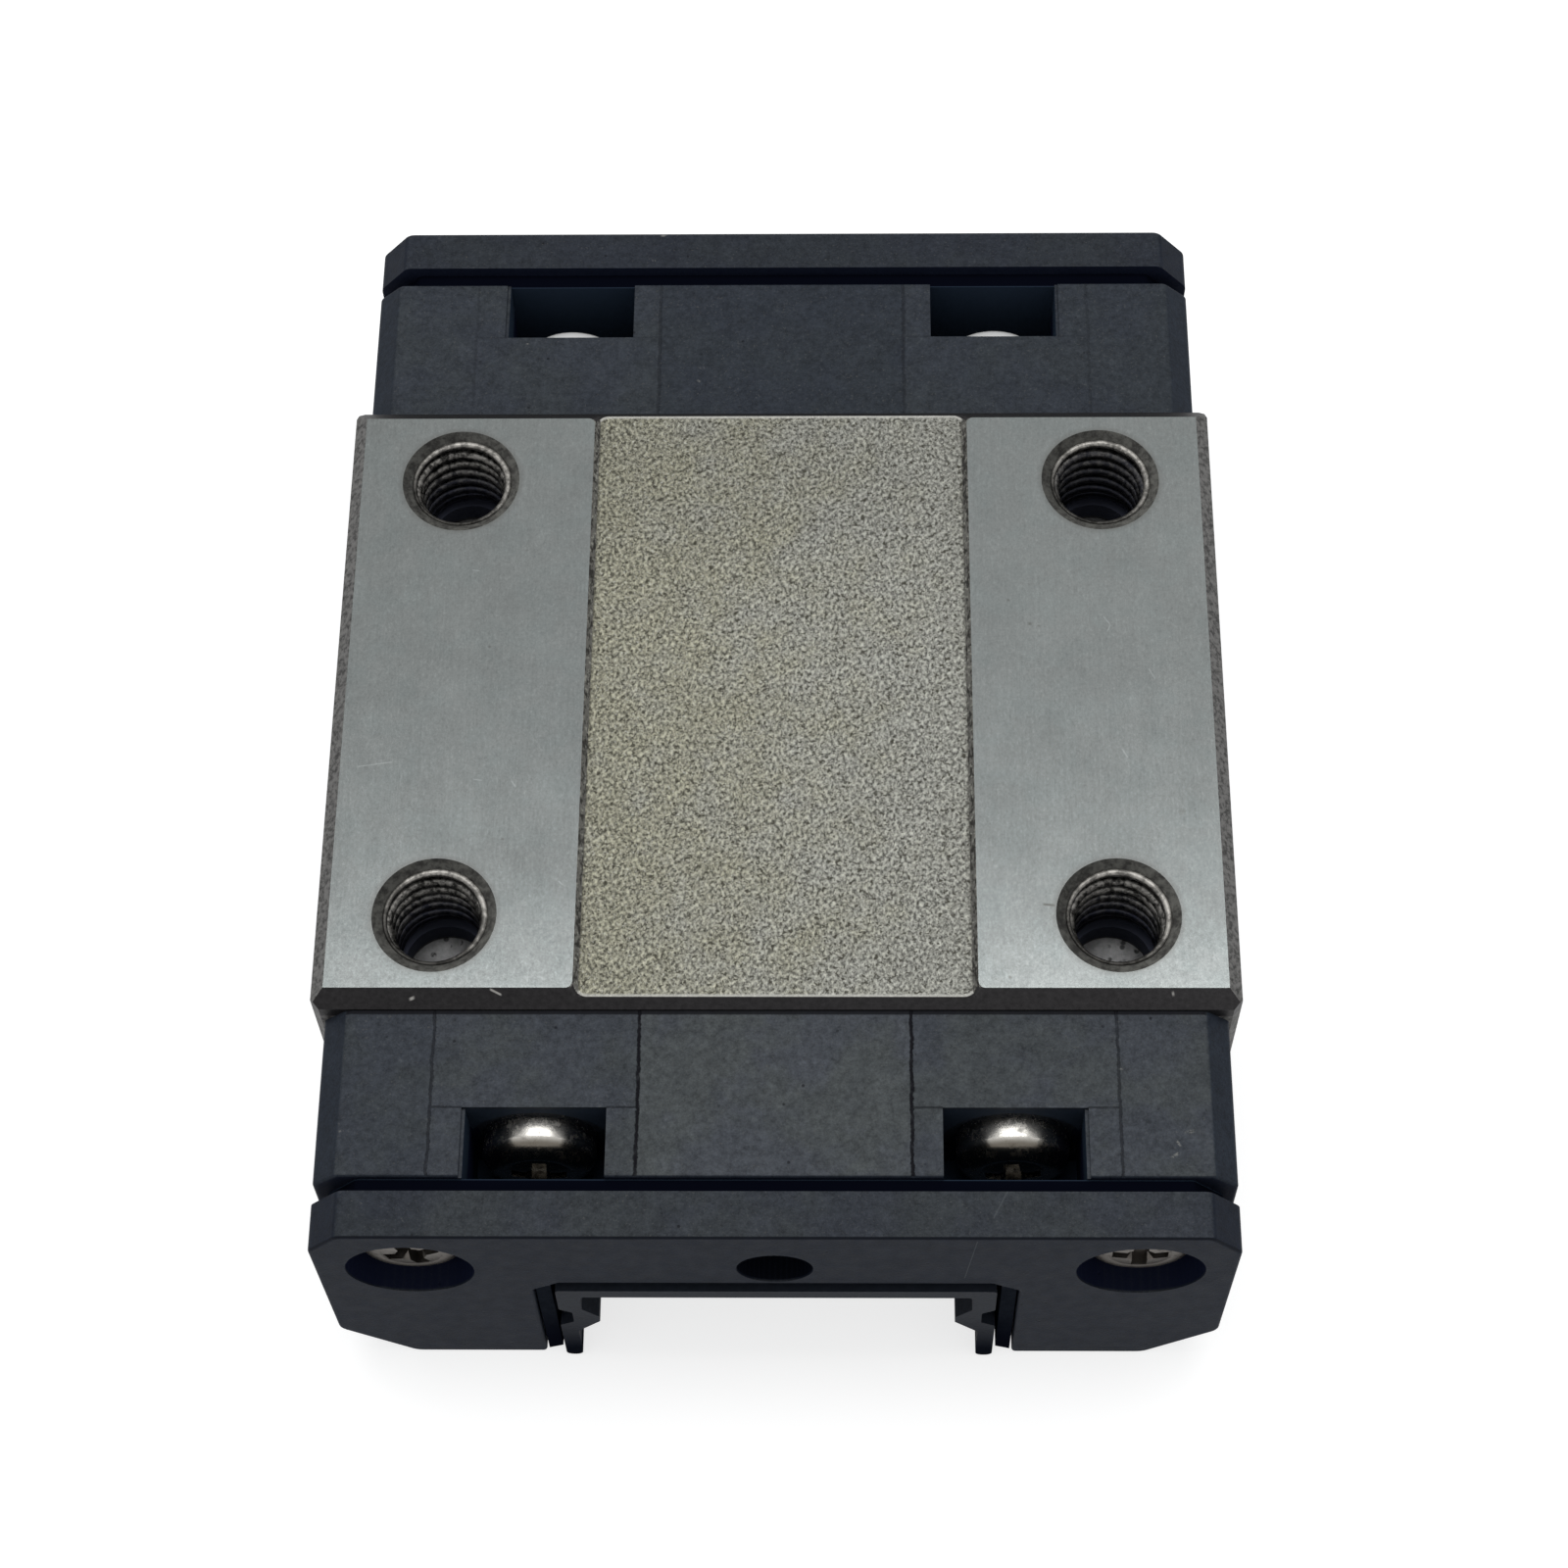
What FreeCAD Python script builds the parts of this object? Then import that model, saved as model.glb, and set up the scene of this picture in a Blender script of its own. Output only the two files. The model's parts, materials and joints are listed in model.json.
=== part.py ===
import FreeCAD, Part
import math
import os

# Linear bearing block for a 12 mm profile rail: a hardened steel body between two moulded end
# caps, with a wiper seal and a cover plate at each end and two closed loops of balls inside.
# Millimetres. X is the width, Y the direction of travel, Z up. The origin is at the middle of
# the underside. Front is -Y, rear is +Y, left is -X, right is +X.

# Rail that the block runs on: the rail itself is another part, and only its section matters here
RAIL_BASE_HALF = 6.0
RAIL_HEAD_STEP = 0.22
RAIL_GROOVE_DEPTH = 0.7
RAIL_GROOVE_DROP = 1.5
RAIL_TOP = 4.8

# Steel body
BODY_CHEEK = 7.38
BODY_LENGTH = 20.6
BODY_TOP = 10.3
BODY_BOTTOM = 0.4
BODY_SLOT_GAP = 0.12
BODY_SLOT_ROOM = 0.5
BODY_SLOT_CORNER = 0.3
SIDE_BEVEL = 0.4
END_BEVEL = 0.48
FOOT_BEVEL = 0.6
CORNER_BEVEL = 0.25
BAND_HALF = 5.87
BAND_DEPTH = 0.2
BAND_WALL = 0.16
BAND_CORNER = 0.3

# Threaded holes for the load on top
HOLE_EDGE_X = 3.5
HOLE_EDGE_Y = 2.8
THREAD_MAJOR = 3.0
THREAD_DEPTH = 3.5
HOLE_DRILL = 2.5
HOLE_DEPTH = 4.3
HOLE_TIP = 0.25
HOLE_MOUTH = 3.66
MOUTH_DEPTH = 0.23

# Ball loops
BALL = 2.381
BALL_GAP = 0.05
BALL_PLAY = 0.06
RAIL_PLAY = 0.06
TURN_RADIUS = 1.9
LEAD_IN = 0.4
TUBE_WALL = 0.4
TUBE_PLAY = 0.02
TUBE_END_PLAY = 0.01

# Strip under the loaded row, which keeps the balls in when the block is off its rail
STRIP_OUTER = 1.05
STRIP_BOTTOM = 0.45
STRIP_PLAY = 0.02
TONGUE_TOP = 1.45
TONGUE_LENGTH = 0.8
TONGUE_INSET = 0.2

# End cap
CAP_LENGTH = 5.1
CAP_STEP = 0.33
CAP_DROP = 0.2
CAP_BOTTOM = 0.1
CAP_BEVEL = 0.75
CAP_SLOT_GAP = 0.25
CAP_SLOT_ROOM = 0.3
CAP_EDGE = 0.1
CAP_CORNER = 0.3
CAP_SLOT_CORNER = 0.2

# Return guide, which forms the inside of a turn
GUIDE_HEIGHT = 3.2
GUIDE_INSET = 0.05
GUIDE_PLAY = 0.03

# Pan-head screws that hold a cap to the body, in windows in the cap's outer face
CAP_SCREW_INSET = 3.13
CAP_SCREW = 2.0
CAP_SCREW_LENGTH = 6.0
CAP_SCREW_HEAD = 3.3
CAP_SCREW_HEAD_HEIGHT = 1.3
CAP_SCREW_RIM = 0.7
CAP_SCREW_CROWN = 0.1
CAP_SCREW_FACE = 1.9
CAP_RECESS_DEPTH = 0.5
WINDOW_WIDTH = 4.15
WINDOW_DEPTH = 2.1
WINDOW_FLOOR_GAP = 0.05
WINDOW_LEDGE = 0.1
WINDOW_LEDGE_DROP = 0.12
SPOT_FACE = 4.05
SPOT_DEPTH = 0.15

# Low-head screws that hold a cover plate and its seal to the cap
PLATE_SCREW_EDGE = 2.72
PLATE_SCREW = 1.5
PLATE_SCREW_LENGTH = 4.0
PLATE_SCREW_HEAD = 3.2
PLATE_SCREW_HEAD_HEIGHT = 0.75
PLATE_SCREW_RIM = 0.25
PLATE_SCREW_CROWN = 0.06
PLATE_SCREW_FACE = 1.8
PLATE_RECESS_DEPTH = 0.36
HEAD_RECESS = 0.45
COUNTERBORE = 3.7

END_SCREW_RISE = 2.5
SCREW_PLAY = 0.03
SCREW_CLEARANCE = 0.1
THREAD_RUN_OUT = 0.6
TAP_TIP = 0.5
SHANK_POINT = 0.3
RECESS_ARM = 0.44
RECESS_REACH = 0.8
RECESS_CORE_MOUTH = 0.9
RECESS_CORE_TIP = 0.2
RECESS_CORE_DEPTH = 0.25

# Where the cross recesses stopped when the screws were driven, left then right, in degrees
FRONT_CAP_SCREW_TURNS = (4, -6)
REAR_CAP_SCREW_TURNS = (35, 12)
FRONT_PLATE_SCREW_TURNS = (-22, 0)
REAR_PLATE_SCREW_TURNS = (30, -40)

# Seal: a rubber sheet behind the plate, with a lip that follows the rail and a collar round it
SHEET = 0.5
SHEET_INSET = 0.42
LIP_LENGTH = 1.5
LIP_WIPE = 0.05
LIP_LEG = 0.5
LIP_ARM = 0.68
LIP_ROOF = 0.55
LIP_ROOF_GAP = 0.42
LIP_FOOT = 0.02
LIP_FOOT_BEND = 0.22
LIP_BEND = 0.15
LIP_TIP_BEND = 0.1
LIP_KNEE = 1.1
LIP_TIP = 0.2
LIP_NECK = 0.85
LIP_WAIST = 0.08
LIP_NOTCH_SLOPE = 0.3
SHEET_CORNER = 0.2
COLLAR_GAP = 0.1
COLLAR = 0.44
COLLAR_PLAY = 0.06
COLLAR_RECESS = 0.1
COLLAR_FOOT = 0.03
COLLAR_FOOT_RISE = 0.25

# Cover plate
PLATE = 1.4
PLATE_STEP = 0.3
PLATE_SCREW_LAND = 0.8
PLATE_SIDE_TAPER = 0.06
PLATE_BEVEL_X = 0.93
PLATE_BEVEL_Z = 1.15
PLATE_FOOT_X = 2.1
PLATE_FOOT_Z = 2.05
PLATE_SLOT_ROOM = 1.35
PLATE_SLOT_STEP_X = 0.8
PLATE_SLOT_STEP_Z = 0.6
PLATE_SLOT_CORNER = 0.12
PLATE_FOOT_CORNER = 0.55
PLATE_CORNER = 0.4
PLATE_EDGE = 0.1

# Grease port in the middle of each end
PORT = 2.2
PORT_RISE = 0.15
PORT_STEP = 0.1
OIL_WAY = 0.7
OIL_WAY_DEPTH = 0.6
OIL_WAY_LAND = 0.25

# Worked out from the sizes above
BODY_END = BODY_LENGTH / 2
CAP_END = BODY_END + CAP_LENGTH
SHEET_END = CAP_END + SHEET
PLATE_END = SHEET_END + PLATE
BODY_SLOT_HALF = RAIL_BASE_HALF + BODY_SLOT_GAP
BODY_HALF = BODY_SLOT_HALF + BODY_CHEEK
HOLE_X = BODY_HALF - HOLE_EDGE_X
HOLE_Y = BODY_END - HOLE_EDGE_Y
CAP_HALF = BODY_HALF - CAP_STEP
CAP_SCREW_X = HOLE_X - CAP_SCREW_INSET
PLATE_HALF = BODY_HALF - PLATE_STEP
PLATE_SCREW_X = CAP_HALF - PLATE_SCREW_EDGE
RAIL_HEAD_HALF = RAIL_BASE_HALF - RAIL_HEAD_STEP
RAIL_GROOVE_BOTTOM = RAIL_BASE_HALF - RAIL_GROOVE_DEPTH
RAIL_GROOVE_Z = RAIL_TOP - RAIL_GROOVE_DROP
CAP_SLOT_HALF = RAIL_BASE_HALF + CAP_SLOT_GAP
LIP_HALF = RAIL_BASE_HALF - LIP_WIPE + LIP_LEG
COLLAR_HALF = LIP_HALF + COLLAR_GAP + COLLAR
PLATE_SLOT_HALF = COLLAR_HALF + COLLAR_PLAY

BODY_SLOT_TOP = RAIL_TOP + BODY_SLOT_ROOM
CAP_SLOT_TOP = RAIL_TOP + CAP_SLOT_ROOM
PLATE_SLOT_TOP = RAIL_TOP + PLATE_SLOT_ROOM
END_SCREW_Z = RAIL_TOP + END_SCREW_RISE
PORT_Z = END_SCREW_Z + PORT_RISE
PLATE_TOP = END_SCREW_Z + COUNTERBORE / 2 + PLATE_SCREW_LAND
CAP_TOP = PLATE_TOP - CAP_DROP

BALL_RADIUS = BALL / 2
CHANNEL_RADIUS = BALL_RADIUS + BALL_PLAY
LOAD_X = RAIL_GROOVE_BOTTOM + RAIL_PLAY + BALL_RADIUS
ROW_Z = RAIL_GROOVE_Z
TURN_X = LOAD_X + TURN_RADIUS
RETURN_X = TURN_X + TURN_RADIUS
BALL_PITCH = BALL + BALL_GAP
ROW_COUNT = math.ceil((BODY_LENGTH + 2 * LEAD_IN) / BALL_PITCH)
TURN_Y = ROW_COUNT * BALL_PITCH / 2
TUBE_RADIUS = CHANNEL_RADIUS + TUBE_WALL
STRIP_OUTER_X = LOAD_X + STRIP_OUTER

WINDOW_WALL = CAP_END - WINDOW_DEPTH
CAP_SCREW_SEAT = WINDOW_WALL - SPOT_DEPTH
WINDOW_FLOOR = END_SCREW_Z - CAP_SCREW_HEAD / 2 - WINDOW_FLOOR_GAP
PLATE_SEAT = PLATE_END - HEAD_RECESS - PLATE_SCREW_HEAD_HEIGHT

X_AXIS = FreeCAD.Vector(1, 0, 0)
Y_AXIS = FreeCAD.Vector(0, 1, 0)
Z_AXIS = FreeCAD.Vector(0, 0, 1)
ORIGIN = FreeCAD.Vector(0, 0, 0)
CUT_OVER = 1.0


def vec(x, y, z):
    return FreeCAD.Vector(x, y, z)


def box(x0, x1, y0, y1, z0, z1):
    return Part.makeBox(x1 - x0, y1 - y0, z1 - z0, vec(x0, y0, z0))


def rod_along_y(radius, x, z, y0, y1):
    return Part.makeCylinder(radius, y1 - y0, vec(x, y0, z), Y_AXIS)


def mirrored(shape, normal):
    return shape.mirror(ORIGIN, normal)


def both_sides(shape):
    """The shape and its mirror image on the other side of the middle."""
    return [shape, mirrored(shape, X_AXIS)]


def outline(corners):
    """A closed wire in the XZ plane from (x, z, corner radius) triples."""
    points = [vec(x, 0, z) for x, z, _ in corners]
    count = len(points)
    stretches = []
    for i, (_, _, radius) in enumerate(corners):
        here = points[i]
        back = (points[i - 1] - here).normalize()
        ahead = (points[(i + 1) % count] - here).normalize()
        if radius == 0:
            stretches.append((here, None, here))
            continue
        half = back.getAngle(ahead) / 2
        reach = radius / math.tan(half)
        middle = (back + ahead).normalize()
        top = here + middle * (radius / math.sin(half) - radius)
        stretches.append((here + back * reach, top, here + ahead * reach))
    edges = []
    for i, (start, top, end) in enumerate(stretches):
        if top is not None:
            edges.append(Part.Arc(start, top, end).toShape())
        edges.append(Part.LineSegment(end, stretches[(i + 1) % count][0]).toShape())
    return Part.Wire(edges)


def prism(corners, y0, y1):
    """A solid of the given XZ section between two places along Y."""
    face = Part.Face(outline(corners))
    face.translate(vec(0, y0, 0))
    return face.extrude(vec(0, y1 - y0, 0))


def closed_by_mirror(right):
    """The corners of the right half, in order round it, and then those of its mirror image."""
    return right + [(-x, z, radius) for x, z, radius in reversed(right)]


def softened(shape, y, radius):
    """The shape with the edges of its outer outline at one place along Y rounded."""
    flat = [f for f in shape.Faces if abs(f.BoundBox.YMin - y) < 1e-6 and abs(f.BoundBox.YMax - y) < 1e-6]
    widest = max(flat, key=lambda f: f.Area)
    return shape.makeFillet(radius, widest.OuterWire.Edges)


def ball_path():
    """The space swept by the balls round the right rear turn, with its two straight ends."""
    turn = Part.makeTorus(TURN_RADIUS, CHANNEL_RADIUS, vec(TURN_X, TURN_Y, ROW_Z), Z_AXIS, 0, 360, 180)
    start = BODY_END - CUT_OVER
    load = rod_along_y(CHANNEL_RADIUS, LOAD_X, ROW_Z, start, TURN_Y)
    back = rod_along_y(CHANNEL_RADIUS, RETURN_X, ROW_Z, start, TURN_Y)
    return turn.multiFuse([load, back])


def turn_pocket(play, start):
    """The space of the right rear return guide: a round end and a straight run to the body."""
    radius = TURN_RADIUS - GUIDE_INSET + play
    low = ROW_Z - GUIDE_HEIGHT / 2 - play
    height = GUIDE_HEIGHT + 2 * play
    drum = Part.makeCylinder(radius, height, vec(TURN_X, TURN_Y, low), Z_AXIS)
    run = box(TURN_X - radius, TURN_X + radius, start, TURN_Y, low, low + height)
    wide = 2 * radius
    inner_half = box(TURN_X - wide, TURN_X + wide, TURN_Y - wide, TURN_Y, low - CUT_OVER, low + height + CUT_OVER)
    return drum.cut(inner_half).fuse(run)


def bevel_along_x(size, y, z):
    """A cutter for the upper edge at the rear end of the body, over its whole width."""
    half = BODY_HALF + CUT_OVER
    over = size + CUT_OVER
    corners = [
        vec(-half, y - over, z + CUT_OVER),
        vec(-half, y + CUT_OVER, z - over),
        vec(-half, y + over, z + over),
    ]
    face = Part.Face(Part.makePolygon(corners + corners[:1]))
    return face.extrude(vec(2 * half, 0, 0))


def bevel_along_z(size, x, y):
    """A cutter for the upright edge at the right rear corner of the body."""
    over = size + CUT_OVER
    low = BODY_BOTTOM - CUT_OVER
    corners = [
        vec(x - over, y + CUT_OVER, low),
        vec(x + CUT_OVER, y - over, low),
        vec(x + over, y + over, low),
    ]
    face = Part.Face(Part.makePolygon(corners + corners[:1]))
    return face.extrude(vec(0, 0, BODY_TOP - BODY_BOTTOM + 2 * CUT_OVER))


def body_blank():
    """The body's section along its length, with the rail slot and bevelled long edges."""
    right = [
        (BODY_SLOT_HALF, BODY_SLOT_TOP, BODY_SLOT_CORNER),
        (BODY_SLOT_HALF, BODY_BOTTOM, 0),
        (BODY_HALF - FOOT_BEVEL, BODY_BOTTOM, 0),
        (BODY_HALF, BODY_BOTTOM + FOOT_BEVEL, 0),
        (BODY_HALF, BODY_TOP - SIDE_BEVEL, 0),
        (BODY_HALF - SIDE_BEVEL, BODY_TOP, 0),
    ]
    return prism(closed_by_mirror(right), -BODY_END, BODY_END)


def top_band():
    """A cutter for the unground band between the two ground strips."""
    floor = BODY_TOP - BAND_DEPTH
    spread = BAND_WALL * CUT_OVER / BAND_DEPTH
    right = [(BAND_HALF - BAND_WALL, floor, 0), (BAND_HALF + spread, BODY_TOP + CUT_OVER, 0)]
    return prism(closed_by_mirror(right), -BODY_END - CUT_OVER, BODY_END + CUT_OVER)


def load_hole(x, y):
    """A cutter for one threaded hole in the top, at the thread's outer diameter."""
    radius = THREAD_MAJOR / 2
    drill = HOLE_DRILL / 2
    bottom = BODY_TOP - HOLE_DEPTH
    bore = Part.makeCylinder(radius, THREAD_DEPTH + CUT_OVER, vec(x, y, BODY_TOP - THREAD_DEPTH))
    pilot = Part.makeCylinder(drill, HOLE_DEPTH, vec(x, y, bottom))
    tip = Part.makeCone(0, drill, HOLE_TIP, vec(x, y, bottom - HOLE_TIP))
    slope = (HOLE_MOUTH / 2 - radius) / MOUTH_DEPTH
    mouth = Part.makeCone(
        radius, radius + slope * 2 * MOUTH_DEPTH, 2 * MOUTH_DEPTH, vec(x, y, BODY_TOP - MOUTH_DEPTH)
    )
    return bore.multiFuse([pilot, tip, mouth])


def cap_screw_tap():
    """A cutter for the right rear tapped hole in the body's end, with its drill point."""
    radius = CAP_SCREW / 2
    depth = CAP_SCREW_LENGTH - (CAP_SCREW_SEAT - BODY_END) + THREAD_RUN_OUT
    bottom = BODY_END - depth
    bore = rod_along_y(radius, CAP_SCREW_X, END_SCREW_Z, bottom, BODY_END + CUT_OVER)
    tip = Part.makeCone(0, radius, TAP_TIP, vec(CAP_SCREW_X, bottom - TAP_TIP, END_SCREW_Z), Y_AXIS)
    return bore.fuse(tip)


def body_raceway():
    """Cutters for the right side: loaded groove, return hole and the rebate for the strip."""
    start = -BODY_END - CUT_OVER
    end = BODY_END + CUT_OVER
    groove = rod_along_y(CHANNEL_RADIUS, LOAD_X, ROW_Z, start, end)
    passage = rod_along_y(TUBE_RADIUS + TUBE_PLAY, RETURN_X, ROW_Z, start, end)
    rebate = box(0, STRIP_OUTER_X + STRIP_PLAY, start, end, BODY_BOTTOM - CUT_OVER, strip_top())
    return groove.multiFuse([passage, rebate])


def strip_top():
    """Height at which the strip's outer side meets the groove."""
    return ROW_Z - math.sqrt(CHANNEL_RADIUS**2 - STRIP_OUTER**2)


def steel_body():
    cutters = [top_band()]
    for x in (-HOLE_X, HOLE_X):
        for y in (-HOLE_Y, HOLE_Y):
            cutters.append(load_hole(x, y))
    cutters += both_sides(body_raceway())
    rear = [bevel_along_x(END_BEVEL, BODY_END, BODY_TOP)]
    rear += both_sides(bevel_along_z(CORNER_BEVEL, BODY_HALF, BODY_END))
    rear += both_sides(cap_screw_tap())
    for cutter in rear:
        cutters += [cutter, mirrored(cutter, Y_AXIS)]
    return with_band_corners(body_blank().cut(cutters))


def with_band_corners(shape):
    """Rounds the four corners where a ground pad, the band's side and an end bevel meet."""
    corners = []
    for edge in shape.Edges:
        middle = edge.CenterOfMass
        beside_band = BAND_HALF - BAND_WALL < abs(middle.x) < BAND_HALF
        on_bevel = BODY_END - END_BEVEL < abs(middle.y) < BODY_END
        if beside_band and on_bevel and middle.z > BODY_TOP - BAND_DEPTH:
            corners.append(edge)
    return shape.makeFillet(BAND_CORNER, corners)


def oil_ways():
    """Cutters for the grease ways in a cap's inner face, from the port to both turns."""
    half = OIL_WAY / 2
    inner = BODY_END - CUT_OVER
    deep = BODY_END + OIL_WAY_DEPTH
    level = CAP_SLOT_TOP + OIL_WAY_LAND + half
    drop = box(-half, half, inner, deep, level - half, PORT_Z)
    cross = box(-TURN_X - half, TURN_X + half, inner, deep, level - half, level + half)
    feed = box(TURN_X - half, TURN_X + half, inner, deep, ROW_Z, level + half)
    return [drop, cross] + both_sides(feed)


def window():
    """A cutter for the right rear screw window, open at the top and towards the plate."""
    near = CAP_SCREW_X - WINDOW_WIDTH / 2
    far = CAP_SCREW_X + WINDOW_WIDTH / 2
    past = CAP_END + CUT_OVER
    mouth = box(near, far, WINDOW_WALL, past, CAP_TOP - WINDOW_LEDGE_DROP, CAP_TOP + CUT_OVER)
    well = box(near, far - WINDOW_LEDGE, WINDOW_WALL, past, WINDOW_FLOOR, CAP_TOP)
    spot = rod_along_y(SPOT_FACE / 2, CAP_SCREW_X, END_SCREW_Z, CAP_SCREW_SEAT, WINDOW_WALL + SPOT_DEPTH)
    return mouth.multiFuse([well, spot])


def end_cap():
    """The rear cap: it turns the balls round and carries the plate, the seal and the screws."""
    right = [
        (CAP_SLOT_HALF, CAP_SLOT_TOP, CAP_SLOT_CORNER),
        (CAP_SLOT_HALF, CAP_BOTTOM, 0),
        (CAP_HALF - PLATE_FOOT_X, CAP_BOTTOM, CAP_CORNER),
        (CAP_HALF, CAP_BOTTOM + PLATE_FOOT_Z, CAP_CORNER),
        (CAP_HALF, CAP_TOP - CAP_BEVEL, CAP_CORNER),
        (CAP_HALF - CAP_BEVEL, CAP_TOP, CAP_CORNER),
    ]
    blank = softened(prism(closed_by_mirror(right), BODY_END, CAP_END), CAP_END, CAP_EDGE)

    path_start = BODY_END - CUT_OVER
    bolt = rod_along_y(CAP_SCREW / 2 + SCREW_CLEARANCE, CAP_SCREW_X, END_SCREW_Z, path_start, CAP_END)
    pilot_depth = PLATE_SCREW_LENGTH - (PLATE_SEAT - CAP_END) + THREAD_RUN_OUT
    pilot_end = CAP_END + CUT_OVER
    pilot = rod_along_y(PLATE_SCREW / 2, PLATE_SCREW_X, END_SCREW_Z, CAP_END - pilot_depth, pilot_end)
    tongue = box(
        BODY_SLOT_HALF - CUT_OVER, STRIP_OUTER_X + STRIP_PLAY, path_start,
        BODY_END + TONGUE_LENGTH + STRIP_PLAY, STRIP_BOTTOM - STRIP_PLAY, TONGUE_TOP + STRIP_PLAY,
    )
    port = rod_along_y(PORT / 2 - PORT_STEP, 0, PORT_Z, path_start, CAP_END + CUT_OVER)
    cutters = [port] + oil_ways()
    for cutter in (ball_path(), turn_pocket(GUIDE_PLAY, path_start), window(), bolt, pilot, tongue):
        cutters += both_sides(cutter)
    return blank.cut(cutters)


def return_guide():
    """The inside of the right rear turn: a half drum with the ball path cut round it."""
    return turn_pocket(0, BODY_END).cut(ball_path())


def return_tube():
    """The liner of the right return hole."""
    end = BODY_END - TUBE_END_PLAY
    outside = rod_along_y(TUBE_RADIUS, RETURN_X, ROW_Z, -end, end)
    return outside.cut(rod_along_y(CHANNEL_RADIUS, RETURN_X, ROW_Z, -end - CUT_OVER, end + CUT_OVER))


def ball_strip():
    """The strip under the right loaded row, with a tongue at each end that the caps hold."""
    blank = box(BODY_SLOT_HALF, STRIP_OUTER_X, -BODY_END, BODY_END, STRIP_BOTTOM, strip_top() + BALL_PLAY)
    reach = BODY_END + TONGUE_LENGTH
    tongue = box(BODY_SLOT_HALF + TONGUE_INSET, STRIP_OUTER_X, -reach, reach, STRIP_BOTTOM, TONGUE_TOP)
    groove = rod_along_y(CHANNEL_RADIUS, LOAD_X, ROW_Z, -BODY_END - CUT_OVER, BODY_END + CUT_OVER)
    crest = box(
        0, STRIP_OUTER_X + CUT_OVER, -BODY_END - CUT_OVER, BODY_END + CUT_OVER,
        strip_top() - BALL_PLAY, BODY_TOP,
    )
    return blank.fuse(tongue).cut([groove, crest]).removeSplitter()


def cross_recess(x, y, z, angle, arm_depth):
    """A cutter for a cross recess in a head that faces +Y and ends at y, turned by an angle."""
    half = RECESS_ARM / 2
    floor = y - arm_depth
    across = box(x - RECESS_REACH, x + RECESS_REACH, floor, y + CUT_OVER, z - half, z + half)
    upright = box(x - half, x + half, floor, y + CUT_OVER, z - RECESS_REACH, z + RECESS_REACH)
    core_tip = vec(x, floor - RECESS_CORE_DEPTH, z)
    core_height = RECESS_CORE_DEPTH + arm_depth
    core = Part.makeCone(RECESS_CORE_TIP / 2, RECESS_CORE_MOUTH / 2, core_height, core_tip, Y_AXIS)
    cutter = across.multiFuse([upright, core])
    cutter.rotate(vec(x, 0, z), Y_AXIS, angle)
    return cutter


def screw(x, z, seat, length, thread, head, height, rim, crown, face, arm_depth, angle):
    """A screw along Y: a head with an upright rim, a round shoulder and a low crown inside it."""
    tip = seat - length
    shank = thread / 2 - SCREW_PLAY
    edge = head / 2
    flat = face / 2
    shoulder_foot = seat + rim
    shoulder_top = seat + height - crown
    points = [
        vec(x, tip, z),
        vec(x + shank - SHANK_POINT, tip, z),
        vec(x + shank, tip + SHANK_POINT, z),
        vec(x + shank, seat, z),
        vec(x + edge, seat, z),
        vec(x + edge, shoulder_foot, z),
    ]
    bulge = math.sin(math.pi / 4)
    shoulder_x = x + flat + (edge - flat) * bulge
    shoulder = vec(shoulder_x, shoulder_foot + (shoulder_top - shoulder_foot) * bulge, z)
    shoulder_end = vec(x + flat, shoulder_top, z)
    crown_side = vec(x + flat / 2, seat + height - crown / 4, z)
    summit = vec(x, seat + height, z)
    edges = [Part.LineSegment(a, b).toShape() for a, b in zip(points, points[1:])]
    edges.append(Part.Arc(points[-1], shoulder, shoulder_end).toShape())
    edges.append(Part.Arc(shoulder_end, crown_side, summit).toShape())
    edges.append(Part.LineSegment(summit, points[0]).toShape())
    turned = Part.Face(Part.Wire(edges)).revolve(vec(x, 0, z), Y_AXIS, 360)
    return turned.cut(cross_recess(x, seat + height, z, angle, arm_depth))


def cap_screw(side, angle):
    """A pan-head screw in a window of the rear cap, on the right for side 1 and the left for -1."""
    return screw(
        side * CAP_SCREW_X, END_SCREW_Z, CAP_SCREW_SEAT, CAP_SCREW_LENGTH, CAP_SCREW,
        CAP_SCREW_HEAD, CAP_SCREW_HEAD_HEIGHT, CAP_SCREW_RIM, CAP_SCREW_CROWN, CAP_SCREW_FACE,
        CAP_RECESS_DEPTH, angle,
    )


def plate_screw(side, angle):
    """A low-head screw in the rear cover plate, on the right for side 1 and the left for -1."""
    return screw(
        side * PLATE_SCREW_X, END_SCREW_Z, PLATE_SEAT, PLATE_SCREW_LENGTH, PLATE_SCREW,
        PLATE_SCREW_HEAD, PLATE_SCREW_HEAD_HEIGHT, PLATE_SCREW_RIM, PLATE_SCREW_CROWN, PLATE_SCREW_FACE,
        PLATE_RECESS_DEPTH, angle,
    )


def rail_side():
    """The right side of the rail that the lip wipes, from its foot to the middle of its top."""
    return [
        (RAIL_BASE_HALF - LIP_WIPE, RAIL_GROOVE_Z - LIP_KNEE, LIP_BEND),
        (RAIL_GROOVE_BOTTOM - LIP_WIPE, RAIL_GROOVE_Z - LIP_TIP, LIP_TIP_BEND),
        (RAIL_GROOVE_BOTTOM - LIP_WIPE, RAIL_GROOVE_Z + LIP_TIP, LIP_TIP_BEND),
        (RAIL_HEAD_HALF - LIP_WIPE, RAIL_GROOVE_Z + LIP_NECK, 0),
        (RAIL_HEAD_HALF - LIP_WIPE, RAIL_TOP + LIP_ROOF_GAP, LIP_BEND),
    ]


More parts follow.
